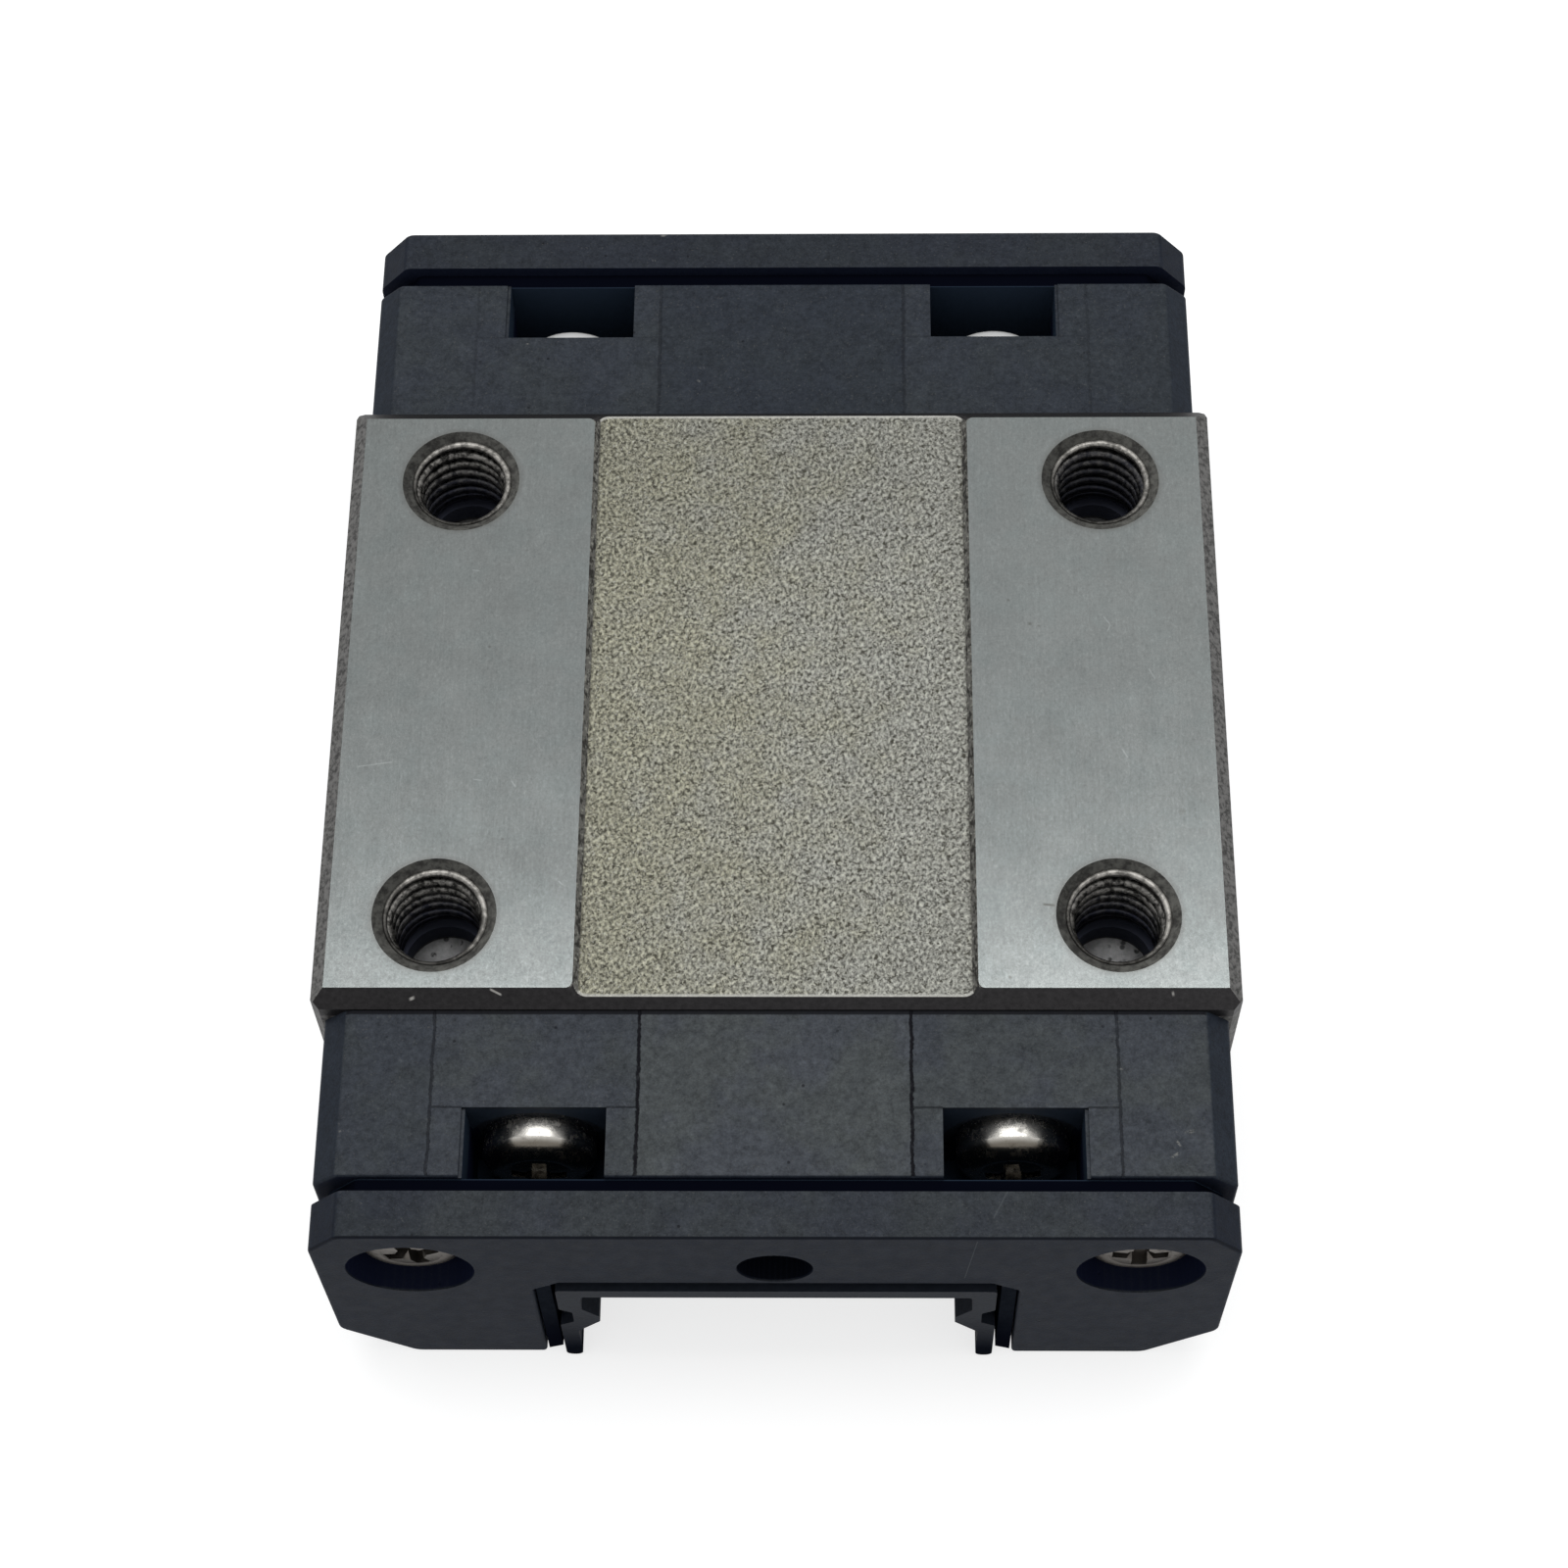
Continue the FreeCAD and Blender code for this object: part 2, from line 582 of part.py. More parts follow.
def lip_band():
    """The lip's front section: a thin band that follows the rail's side, groove and top."""
    leg_in = RAIL_BASE_HALF - LIP_WIPE
    waist = leg_in + LIP_WAIST
    arm_out = RAIL_HEAD_HALF - LIP_WIPE + LIP_ARM
    roof = RAIL_TOP + LIP_ROOF_GAP + LIP_ROOF
    outer = [
        (arm_out, roof, LIP_BEND),
        (arm_out, RAIL_GROOVE_Z + LIP_NECK, LIP_TIP_BEND),
        (waist, RAIL_GROOVE_Z + LIP_NECK - LIP_NOTCH_SLOPE, LIP_TIP_BEND),
        (waist, RAIL_GROOVE_Z - LIP_NECK + 2 * LIP_NOTCH_SLOPE, LIP_TIP_BEND),
        (LIP_HALF, RAIL_GROOVE_Z - LIP_NECK + LIP_NOTCH_SLOPE, LIP_TIP_BEND),
        (LIP_HALF, LIP_FOOT, LIP_FOOT_BEND),
        (leg_in, LIP_FOOT, LIP_FOOT_BEND),
    ]
    return closed_by_mirror(outer + rail_side())


def collar():
    """The right side of the collar that fills the plate's slot beside the lip."""
    near = LIP_HALF + COLLAR_GAP
    far = COLLAR_HALF
    low_top = PLATE_SLOT_TOP - PLATE_SLOT_STEP_Z - COLLAR_PLAY
    high_top = low_top + (far - near) * PLATE_SLOT_STEP_Z / PLATE_SLOT_STEP_X
    corners = [
        (near, COLLAR_FOOT + COLLAR_FOOT_RISE, 0),
        (far, COLLAR_FOOT, 0),
        (far, low_top, 0),
        (near, high_top, 0),
    ]
    return prism(corners, CAP_END, PLATE_END - COLLAR_RECESS)


def seal():
    """The rear seal: a sheet between cap and plate, with a lip and a collar that stand out of it."""
    half = PLATE_HALF - SHEET_INSET
    right = [
        (LIP_HALF, RAIL_GROOVE_Z - LIP_KNEE, LIP_TIP_BEND),
        (LIP_HALF, SHEET_INSET, 0),
        (half - PLATE_FOOT_X, SHEET_INSET, SHEET_CORNER),
        (half, SHEET_INSET + PLATE_FOOT_Z, SHEET_CORNER),
        (half, PLATE_TOP - SHEET_INSET - PLATE_BEVEL_Z, SHEET_CORNER),
        (half - PLATE_BEVEL_X, PLATE_TOP - SHEET_INSET, SHEET_CORNER),
    ]
    groove_and_roof = rail_side()[1:]
    sheet = prism(closed_by_mirror(groove_and_roof[::-1] + right), CAP_END, SHEET_END)
    lip = prism(lip_band(), CAP_END, SHEET_END + LIP_LENGTH)
    past = SHEET_END + CUT_OVER
    shank = PLATE_SCREW / 2 + SCREW_CLEARANCE
    holes = both_sides(rod_along_y(shank, PLATE_SCREW_X, END_SCREW_Z, CAP_END - CUT_OVER, past))
    holes.append(rod_along_y(PORT / 2, 0, PORT_Z, CAP_END - CUT_OVER, past))
    return sheet.multiFuse([lip] + both_sides(collar())).cut(holes).removeSplitter()


def cover_plate():
    """The rear cover plate: bevelled corners, a slot round the lip and recessed screw holes."""
    foot_half = PLATE_HALF - PLATE_SIDE_TAPER
    right = [
        (PLATE_SLOT_HALF - PLATE_SLOT_STEP_X, PLATE_SLOT_TOP, PLATE_SLOT_CORNER),
        (PLATE_SLOT_HALF, PLATE_SLOT_TOP - PLATE_SLOT_STEP_Z, PLATE_SLOT_CORNER),
        (PLATE_SLOT_HALF, 0, PLATE_SLOT_CORNER),
        (foot_half - PLATE_FOOT_X, 0, PLATE_FOOT_CORNER),
        (foot_half, PLATE_FOOT_Z, PLATE_FOOT_CORNER),
        (PLATE_HALF, PLATE_TOP - PLATE_BEVEL_Z, PLATE_CORNER),
        (PLATE_HALF - PLATE_BEVEL_X, PLATE_TOP, PLATE_CORNER),
    ]
    blank = softened(prism(closed_by_mirror(right), SHEET_END, PLATE_END), PLATE_END, PLATE_EDGE)
    past = PLATE_END + CUT_OVER
    sink = rod_along_y(COUNTERBORE / 2, PLATE_SCREW_X, END_SCREW_Z, PLATE_SEAT, past)
    shank = PLATE_SCREW / 2 + SCREW_CLEARANCE
    through = rod_along_y(shank, PLATE_SCREW_X, END_SCREW_Z, SHEET_END - CUT_OVER, past)
    port = rod_along_y(PORT / 2, 0, PORT_Z, SHEET_END - CUT_OVER, past)
    return blank.cut(both_sides(sink) + both_sides(through) + [port])


def ball_row(x):
    """A straight row of balls, set evenly about the middle of its travel."""
    first = -TURN_Y + BALL_PITCH / 2
    return [Part.makeSphere(BALL_RADIUS, vec(x, first + i * BALL_PITCH, ROW_Z)) for i in range(ROW_COUNT)]


def turn_balls():
    """The two balls in the right rear turn, half way between the places that a turn has for them."""
    balls = []
    for angle in (math.pi / 4, 3 * math.pi / 4):
        x = TURN_X + TURN_RADIUS * math.cos(angle)
        y = TURN_Y + TURN_RADIUS * math.sin(angle)
        balls.append(Part.makeSphere(BALL_RADIUS, vec(x, y, ROW_Z)))
    return balls


def screw_pair(make, turns):
    """The left and right screws of one kind at the rear end, each driven home at its own angle."""
    left_turn, right_turn = turns
    return [make(-1, left_turn), make(1, right_turn)]


def at_front(solids):
    return [mirrored(s, Y_AXIS) for s in solids]


def save(node, solids):
    shape = solids[0] if len(solids) == 1 else Part.makeCompound(solids)
    shape.exportStep("parts/" + node + ".step")


def save_sides(pattern, solids):
    """Write a piece of the right side and its mirror image on the left."""
    save(pattern.format("right"), solids)
    save(pattern.format("left"), [mirrored(s, X_AXIS) for s in solids])


def save_ends(pattern, solids):
    """Write a piece of the rear end and its mirror image at the front."""
    save(pattern.format("rear"), solids)
    save(pattern.format("front"), at_front(solids))


def save_quarters(pattern, solids):
    """Write a piece of the right rear quarter and its three mirror images."""
    save_sides(pattern.format("rear", "{}"), solids)
    save_sides(pattern.format("front", "{}"), at_front(solids))


os.makedirs("parts", exist_ok=True)
save("steel_body", [steel_body()])
save_ends("{}_end_cap", [end_cap()])
save_ends("{}_seal", [seal()])
save_ends("{}_cover_plate", [cover_plate()])
save("rear_cap_screws", screw_pair(cap_screw, REAR_CAP_SCREW_TURNS))
save("rear_plate_screws", screw_pair(plate_screw, REAR_PLATE_SCREW_TURNS))
save("front_cap_screws", at_front(screw_pair(cap_screw, FRONT_CAP_SCREW_TURNS)))
save("front_plate_screws", at_front(screw_pair(plate_screw, FRONT_PLATE_SCREW_TURNS)))
save_quarters("{}_{}_return_guide", [return_guide()])
save_sides("{}_return_tube", [return_tube()])
save_sides("{}_ball_strip", [ball_strip()])
save_sides("{}_loaded_balls", ball_row(LOAD_X))
save_sides("{}_return_balls", ball_row(RETURN_X))
save_quarters("{}_{}_turn_balls", turn_balls())
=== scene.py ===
import json
import math

import bpy
from mathutils import Matrix, Vector


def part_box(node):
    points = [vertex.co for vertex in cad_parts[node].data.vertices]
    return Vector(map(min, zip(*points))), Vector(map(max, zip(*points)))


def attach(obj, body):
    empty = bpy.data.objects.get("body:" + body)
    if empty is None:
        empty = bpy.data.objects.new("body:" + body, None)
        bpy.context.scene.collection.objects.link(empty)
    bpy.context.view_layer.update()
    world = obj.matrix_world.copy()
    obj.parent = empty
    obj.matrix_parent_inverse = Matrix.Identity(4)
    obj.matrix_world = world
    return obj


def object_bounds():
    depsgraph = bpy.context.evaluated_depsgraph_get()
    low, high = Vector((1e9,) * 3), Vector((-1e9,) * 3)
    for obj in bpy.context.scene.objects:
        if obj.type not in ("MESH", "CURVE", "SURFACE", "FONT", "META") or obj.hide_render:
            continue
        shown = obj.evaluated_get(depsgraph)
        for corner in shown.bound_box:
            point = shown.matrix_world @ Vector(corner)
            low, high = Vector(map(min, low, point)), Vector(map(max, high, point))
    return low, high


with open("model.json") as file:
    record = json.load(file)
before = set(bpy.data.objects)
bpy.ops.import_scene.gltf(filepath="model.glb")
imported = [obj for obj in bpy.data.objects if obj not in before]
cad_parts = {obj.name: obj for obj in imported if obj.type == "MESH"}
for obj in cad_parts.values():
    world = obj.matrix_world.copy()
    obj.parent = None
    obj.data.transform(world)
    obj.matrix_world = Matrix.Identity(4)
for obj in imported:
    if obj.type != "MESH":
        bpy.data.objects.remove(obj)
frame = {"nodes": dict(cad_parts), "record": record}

# Looks of a linear bearing block. The frame is in metres; the materials and the small pieces
# below are laid out in millimetres, because every detail here is a fraction of one.
MM = 0.001
CAD_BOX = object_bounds()
NODES = frame["nodes"]


def corner(node, which, axis):
    """One coordinate of a node's lowest (0) or highest (1) corner, in millimetres."""
    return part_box(node)[which][axis] / MM


def mount(name):
    """The record's mount of that name."""
    return next(m for m in frame["record"]["mounts"] if m["name"] == name)


# Places that the looks follow, taken from the frame
BODY_TOP = mount("right_top_pad")["pos_m"][2] / MM
BODY_END = corner("steel_body", 1, 1)
CAP_TOP = corner("rear_end_cap", 1, 2)
CAP_END = corner("rear_end_cap", 1, 1)
PLATE_FACE = corner("rear_cover_plate", 1, 1)

HOLES = mount("top_screw_holes")
HOLE_X = HOLES["dims"]["spacing_x_mm"] / 2
HOLE_Y = HOLES["dims"]["spacing_y_mm"] / 2
HOLE_RADIUS = HOLES["dims"]["hole_r_mm"]
HOLE_MOUTH_RADIUS = 1.83
HOLE_DEPTH = 4.3

# The rough band in the middle, between the ground pads: half its width up to its side walls and
# half the width of its clean floor, then its depth, its ends and the rounding of its corners
BAND_HALF = 5.87
BAND_EDGE = 5.71
BAND_DEPTH = 0.2
BAND_END = 10.02
BAND_CORNER = 0.45

# The pads are painted brighter towards the front, a painted sheen, up to their front edge
SHEEN_FROM = -6.0
SHEEN_TO = -9.6
PAD_FRONT = -9.77

# Screw windows in the caps, the recesses of the corner screws and the seams of the mould
WINDOW_X = 6.87
WINDOW_HALF = 2.075
WINDOW_WALL = CAP_END - 2.1
WINDOW_FLOOR = 5.5
SCREW_Z = 7.3
SCREW_RIM_END = 13.85
PLATE_SCREW_X = 10.45
COUNTERBORE_RADIUS = 1.85
PORT_Z = 7.45
PORT_RADIUS = 1.1
SEAM_INNER_X = 3.92
SEAM_OUTER_X = 9.85

# The seal: the face of its sheet, and the inner side and top of the collar beside its lip
SHEET_THICKNESS = 0.5
SHEET_FACE = CAP_END + SHEET_THICKNESS
COLLAR_INNER_X = 6.55
COLLAR_TOP = 5.75

# The seals keep their own tone above the first of these heights; below it painted shade darkens them, most
# below the second
SEAL_PLAIN_Z = 4.4
SEAL_DARK_Z = 0.6


# Camera: the photograph's own viewpoint, in millimetres, with two rows of its rotation

CAMERA_PLACE = Vector((2.0436, -50.4774, 101.689))
CAMERA_RIGHT = Vector((0.99984, 0.00764, -0.01617))
CAMERA_DOWN = Vector((-0.00115, -0.87483, -0.48443))
FOCAL_LENGTH = 79.283
PHOTO_SIZE = 1600
# The optical axis meets the photograph this many pixels above its middle
AXIS_RISE = 100
SENSOR_WIDTH = 36
CLIP_NEAR = 0.005
CLIP_FAR = 10


def add_camera():
    camera = bpy.data.objects.new("camera", bpy.data.cameras.new("camera"))
    bpy.context.scene.collection.objects.link(camera)
    bpy.context.scene.camera = camera
    right = CAMERA_RIGHT.normalized()
    back = right.cross(-CAMERA_DOWN).normalized()
    up = back.cross(right)
    turn = Matrix((right, up, back)).transposed()
    camera.matrix_world = Matrix.Translation(CAMERA_PLACE * MM) @ turn.to_4x4()
    camera.data.sensor_width = SENSOR_WIDTH
    camera.data.lens = FOCAL_LENGTH
    camera.data.shift_y = -AXIS_RISE / PHOTO_SIZE
    camera.data.clip_start = CLIP_NEAR
    camera.data.clip_end = CLIP_FAR


# Light: a pale studio with one large soft lamp overhead

LAMP_PLACE = (0.0, 0.055, 0.36)
LAMP_SIZE = (0.34, 0.16)
LAMP_POWER = 0.62
LAMP_TURN = 3
ROOM_COLOUR = (0.97, 0.99, 1.0, 1)
ROOM_STRENGTH = 0.5
FLOOR_HALF = 2.0
# The floor lies this far below the feet, so that the two never share one plane
FLOOR_GAP = 0.00001
FLOOR_GREY = 0.5
FLOOR_ROUGHNESS = 0.9
FLOOR_GLOW = 0.72


def add_lamp(name, place, size, power, turn):
    """A soft lamp that faces straight down, turned about the upright."""
    data = bpy.data.lights.new(name, "AREA")
    data.shape = "RECTANGLE"
    data.size, data.size_y = size
    data.energy = power
    lamp = bpy.data.objects.new(name, data)
    bpy.context.scene.collection.objects.link(lamp)
    lamp.location = place
    lamp.rotation_euler = (0, 0, math.radians(turn))


def seen_directly(tree):
    """1 for the camera and in reflections and glass, and 0 for light that falls on the object."""
    path = tree.nodes.new("ShaderNodeLightPath")
    seen = path.outputs["Is Camera Ray"]
    for name in ("Is Glossy Ray", "Is Transmission Ray"):
        either = tree.nodes.new("ShaderNodeMath")
        either.operation = "MAXIMUM"
        tree.links.new(seen, either.inputs[0])
        tree.links.new(path.outputs[name], either.inputs[1])
        seen = either.outputs[0]
    return seen


def add_studio():
    """The lamp, and a world that is white where it is seen and dimmer where it lights."""
    scene = bpy.context.scene
    scene.view_settings.view_transform = "Standard"
    add_lamp("overhead", LAMP_PLACE, LAMP_SIZE, LAMP_POWER, LAMP_TURN)
    world = bpy.data.worlds.new("studio")
    scene.world = world
    world.use_nodes = True
    tree = world.node_tree
    tree.nodes.clear()
    output = tree.nodes.new("ShaderNodeOutputWorld")
    white = tree.nodes.new("ShaderNodeBackground")
    white.inputs["Color"].default_value = (1, 1, 1, 1)
    white.inputs["Strength"].default_value = 1.0
    room = tree.nodes.new("ShaderNodeBackground")
    room.inputs["Color"].default_value = ROOM_COLOUR
    room.inputs["Strength"].default_value = ROOM_STRENGTH
    mix = tree.nodes.new("ShaderNodeMixShader")
    tree.links.new(seen_directly(tree), mix.inputs[0])
    tree.links.new(room.outputs[0], mix.inputs[1])
    tree.links.new(white.outputs[0], mix.inputs[2])
    tree.links.new(mix.outputs[0], output.inputs["Surface"])


def add_floor():
    """A pale floor that shows white to the camera and in reflections, and keeps the shadow."""
    mesh = bpy.data.meshes.new("floor")
    half = FLOOR_HALF
    level = CAD_BOX[0][2] - FLOOR_GAP
    corners = [(-half, -half, level), (half, -half, level), (half, half, level), (-half, half, level)]
    mesh.from_pydata(corners, [], [(0, 1, 2, 3)])
    floor = bpy.data.objects.new("floor", mesh)
    bpy.context.scene.collection.objects.link(floor)
    material = bpy.data.materials.new("floor_white")
    material.use_nodes = True
    tree = material.node_tree
    shader = tree.nodes["Principled BSDF"]
    shader.inputs["Base Color"].default_value = (FLOOR_GREY, FLOOR_GREY, FLOOR_GREY, 1)
    shader.inputs["Roughness"].default_value = FLOOR_ROUGHNESS
    shader.inputs["Emission Color"].default_value = (1, 1, 1, 1)
    glow = tree.nodes.new("ShaderNodeMath")
    glow.operation = "MULTIPLY"
    tree.links.new(seen_directly(tree), glow.inputs[0])
    glow.inputs[1].default_value = FLOOR_GLOW
    tree.links.new(glow.outputs[0], shader.inputs["Emission Strength"])
    mesh.materials.append(material)


# Materials: fields are numbers that vary over the surface, with arithmetic

class Field:
    """A number or a colour that varies over a material's surface."""

    def __init__(self, paint, socket):
        self.paint = paint
        self.socket = socket

    def math(self, operation, *others):
        node = self.paint.add("ShaderNodeMath", operation=operation)
        for place, value in enumerate((self,) + others):
            self.paint.feed(node.inputs[place], value)
        return Field(self.paint, node.outputs[0])

    def __add__(self, other):
        return self.math("ADD", other)

    def __sub__(self, other):
        return self.math("SUBTRACT", other)

    def __mul__(self, other):
        return self.math("MULTIPLY", other)

    def __neg__(self):
        return self.math("MULTIPLY", -1)

    def __abs__(self):
        return self.math("ABSOLUTE")

    def at_least(self, other):
        return self.math("MAXIMUM", other)

    def at_most(self, other):
        return self.math("MINIMUM", other)

    def rise(self, low, high):
        """0 below low and 1 above high, with a soft change between; low may be the larger one."""
        node = self.paint.add("ShaderNodeMapRange", interpolation_type="SMOOTHSTEP")
        self.paint.feed(node.inputs["Value"], self)
        if low < high:
            ends = (low, high, 0, 1)
        else:
            ends = (high, low, 1, 0)
        for name, value in zip(("From Min", "From Max", "To Min", "To Max"), ends):
            node.inputs[name].default_value = value
        return Field(self.paint, node.outputs["Result"])

    def between(self, low, high, soft):
        """1 from low to high and 0 outside, with a soft change at both ends."""
        return self.rise(low - soft, low + soft) * self.rise(high + soft, high - soft)


class Paint:
    """A material whose fields are laid out in millimetres, in the part's own frame."""

    def __init__(self, name, metallic=0.0, roughness=0.5, specular=0.5):
        self.material = bpy.data.materials.new(name)
        self.material.use_nodes = True
        self.tree = self.material.node_tree
        self.shader = self.tree.nodes["Principled BSDF"]
        self.shader.inputs["Metallic"].default_value = metallic
        self.shader.inputs["Roughness"].default_value = roughness
        self.shader.inputs["Specular IOR Level"].default_value = specular
        coordinates = self.add("ShaderNodeTexCoord")
        scaled = self.add("ShaderNodeVectorMath", operation="SCALE")
        self.tree.links.new(coordinates.outputs["Object"], scaled.inputs[0])
        scaled.inputs["Scale"].default_value = 1 / MM
        self.place = scaled.outputs[0]
        self.x, self.y, self.z = self.parts(self.place)
        self.normal_x, self.normal_y, self.normal_z = self.parts(coordinates.outputs["Normal"])

    def add(self, kind, **settings):
        node = self.tree.nodes.new(kind)
        for name, value in settings.items():
            setattr(node, name, value)
        return node

    def feed(self, socket, value):
        if isinstance(value, Field):
            self.tree.links.new(value.socket, socket)
        elif isinstance(value, tuple):
            socket.default_value = value + (1,) if len(value) == 3 else value
        else:
            socket.default_value = value

    def parts(self, socket):
        node = self.add("ShaderNodeSeparateXYZ")
        self.tree.links.new(socket, node.inputs[0])
        return [Field(self, node.outputs[i]) for i in range(3)]

    def stretched(self, stretch, turn=0):
        """The place on the surface, turned about Z and drawn out along the axes."""
        node = self.add("ShaderNodeMapping")
        self.tree.links.new(self.place, node.inputs["Vector"])
        node.inputs["Rotation"].default_value = (0, 0, math.radians(turn))
        node.inputs["Scale"].default_value = [1 / s for s in stretch]
        return node.outputs[0]

    def noise(self, size, detail=2.0, roughness=0.5, stretch=(1, 1, 1), turn=0, distortion=0.0):
        """Soft noise from 0 to 1 with grains of the given size."""
        node = self.add("ShaderNodeTexNoise")
        self.tree.links.new(self.stretched(stretch, turn), node.inputs["Vector"])
        node.inputs["Scale"].default_value = 1 / size
        node.inputs["Detail"].default_value = detail
        node.inputs["Roughness"].default_value = roughness
        node.inputs["Distortion"].default_value = distortion
        return Field(self, node.outputs["Fac"])

    def cells(self, size, stretch=(1, 1, 1), turn=0):
        """Distance from the middle of the nearest of many scattered cells, in cell sizes."""
        node = self.add("ShaderNodeTexVoronoi")
        self.tree.links.new(self.stretched(stretch, turn), node.inputs["Vector"])
        node.inputs["Scale"].default_value = 1 / size
        return Field(self, node.outputs["Distance"])

    def mix(self, first, second, share):
        node = self.add("ShaderNodeMix", data_type="RGBA")
        self.feed(node.inputs["Factor"], share)
        self.feed(node.inputs[6], first)
        self.feed(node.inputs[7], second)
        return Field(self, node.outputs[2])

    def shade(self, colour, level):
        """The colour made lighter or darker by a field around 1."""
        grey = self.add("ShaderNodeCombineColor")
        for place in range(3):
            self.feed(grey.inputs[place], level)
        node = self.add("ShaderNodeMix", data_type="RGBA", blend_type="MULTIPLY")
        node.inputs["Factor"].default_value = 1
        self.feed(node.inputs[6], colour)
        self.feed(node.inputs[7], Field(self, grey.outputs[0]))
        return Field(self, node.outputs[2])

    def finish(self, colour, roughness=None, relief=None, metallic=None, specular=None):
        """Sets the shader. The relief is a height in millimetres."""
        self.feed(self.shader.inputs["Base Color"], colour)
        if roughness is not None:
            self.feed(self.shader.inputs["Roughness"], roughness)
        if metallic is not None:
            self.feed(self.shader.inputs["Metallic"], metallic)
        if specular is not None:
            self.feed(self.shader.inputs["Specular IOR Level"], specular)
        if relief is not None:
            bump = self.add("ShaderNodeBump")
            bump.inputs["Distance"].default_value = MM
            self.feed(bump.inputs["Height"], relief)
            self.tree.links.new(bump.outputs[0], self.shader.inputs["Normal"])
        return self.material

    def distance(self, first, second, place):
        """Distance in the plane of two fields from a place in it."""
        across = first - place[0]
        along = second - place[1]
        return (across * across + along * along).math("SQRT")

    def stroke(self, first, second, start, end, width):
        """1 on a thin straight stroke in the plane of two fields, and 0 elsewhere."""
        length = math.dist(start, end)
        step_x = (end[0] - start[0]) / length
        step_y = (end[1] - start[1]) / length
        across = first - start[0]
        along = second - start[1]
        lengthwise = across * step_x + along * step_y
        sideways = abs(along * step_x - across * step_y)
        return lengthwise.between(0, length, width) * sideways.rise(width, width * 0.3)

    def strokes(self, first, second, marks):
        """Several strokes as one field."""
        drawn = [self.stroke(first, second, *mark) for mark in marks]
        together = drawn[0]
        for other in drawn[1:]:
            together = together.at_least(other)
        return together


# Ground steel of the body, with its rough band, dark bevels and dirty holes

PAD_GREY = (0.188, 0.201, 0.198)
PAD_GREEN = (0.181, 0.202, 0.200)
PAD_STAIN = (0.10, 0.09, 0.075)
PAD_PIT = (0.11, 0.11, 0.10)
PAD_SMUDGE = (0.13, 0.13, 0.125)
MARK_LIGHT = (0.42, 0.45, 0.45)
MARK_DARK = (0.07, 0.065, 0.055)
BAND_GREY = (0.365, 0.364, 0.326)
BAND_OLIVE = (0.350, 0.340, 0.262)
BAND_PAINTED_GLINT = (0.66, 0.66, 0.60)
BAND_PIT = (0.060, 0.056, 0.042)
BAND_STEP_SHADOW = (0.045, 0.043, 0.036)
BAND_PALE_END = (0.64, 0.63, 0.59)
BAND_WALL = (0.150, 0.146, 0.134)
WALL_DIRT = (0.016, 0.015, 0.014)
BEVEL_BROWN = (0.0225, 0.0216, 0.0224)
SIDE_DARK = (0.048, 0.047, 0.046)
SIDE_SCALE = (0.175, 0.171, 0.166)
MOUTH_DARK = (0.034, 0.033, 0.031)
MOUTH_WORN = (0.105, 0.104, 0.095)
WALL_DARK = (0.088, 0.096, 0.135)
HOLE_FLOOR = (0.135, 0.135, 0.136)
CRUMB_BLACK = (0.02, 0.02, 0.02)
NICK_BRIGHT = (0.40, 0.39, 0.37)
PORT_SHADE_STEEL = (0.006, 0.007, 0.009)

# Marks on the pads: where each stroke starts and ends, and its width
PAD_LIGHT_MARKS = (
    ((-9.48, 4.24), (-9.24, 4.20), 0.035),
    ((-12.55, -2.61), (-11.55, -2.46), 0.03),
    ((-7.93, -3.10), (-7.80, -3.30), 0.035),
    ((-9.06, -3.04), (-8.82, -3.08), 0.03),
    ((-6.40, -6.40), (-6.26, -6.54), 0.03),
    ((9.92, 2.55), (10.12, 2.25), 0.035),
    ((10.12, 2.25), (10.02, 2.02), 0.03),
    ((11.22, 0.72), (11.40, 0.36), 0.035),
    ((10.30, -2.02), (10.46, -2.32), 0.035),
    ((9.02, -8.90), (9.16, -9.02), 0.03),
)
PAD_DARK_MARKS = (
    ((-8.84, 1.52), (-8.78, 1.50), 0.06),
    ((-8.14, -5.02), (-8.08, -5.04), 0.06),
    ((7.62, 2.30), (7.70, 2.28), 0.07),
    ((7.92, 2.24), (7.96, 2.20), 0.06),
    ((7.00, 3.14), (7.06, 3.12), 0.06),
    ((7.80, -7.16), (8.14, -7.20), 0.055),
    ((6.76, -9.46), (6.80, -9.52), 0.06),
)
BEVEL_NICKS = (
    ((-8.24, -9.86), (-7.93, -9.98), 0.035),
    ((-10.58, -10.08), (-10.46, -10.04), 0.05),
    ((11.46, -9.92), (11.48, -9.98), 0.05),
)


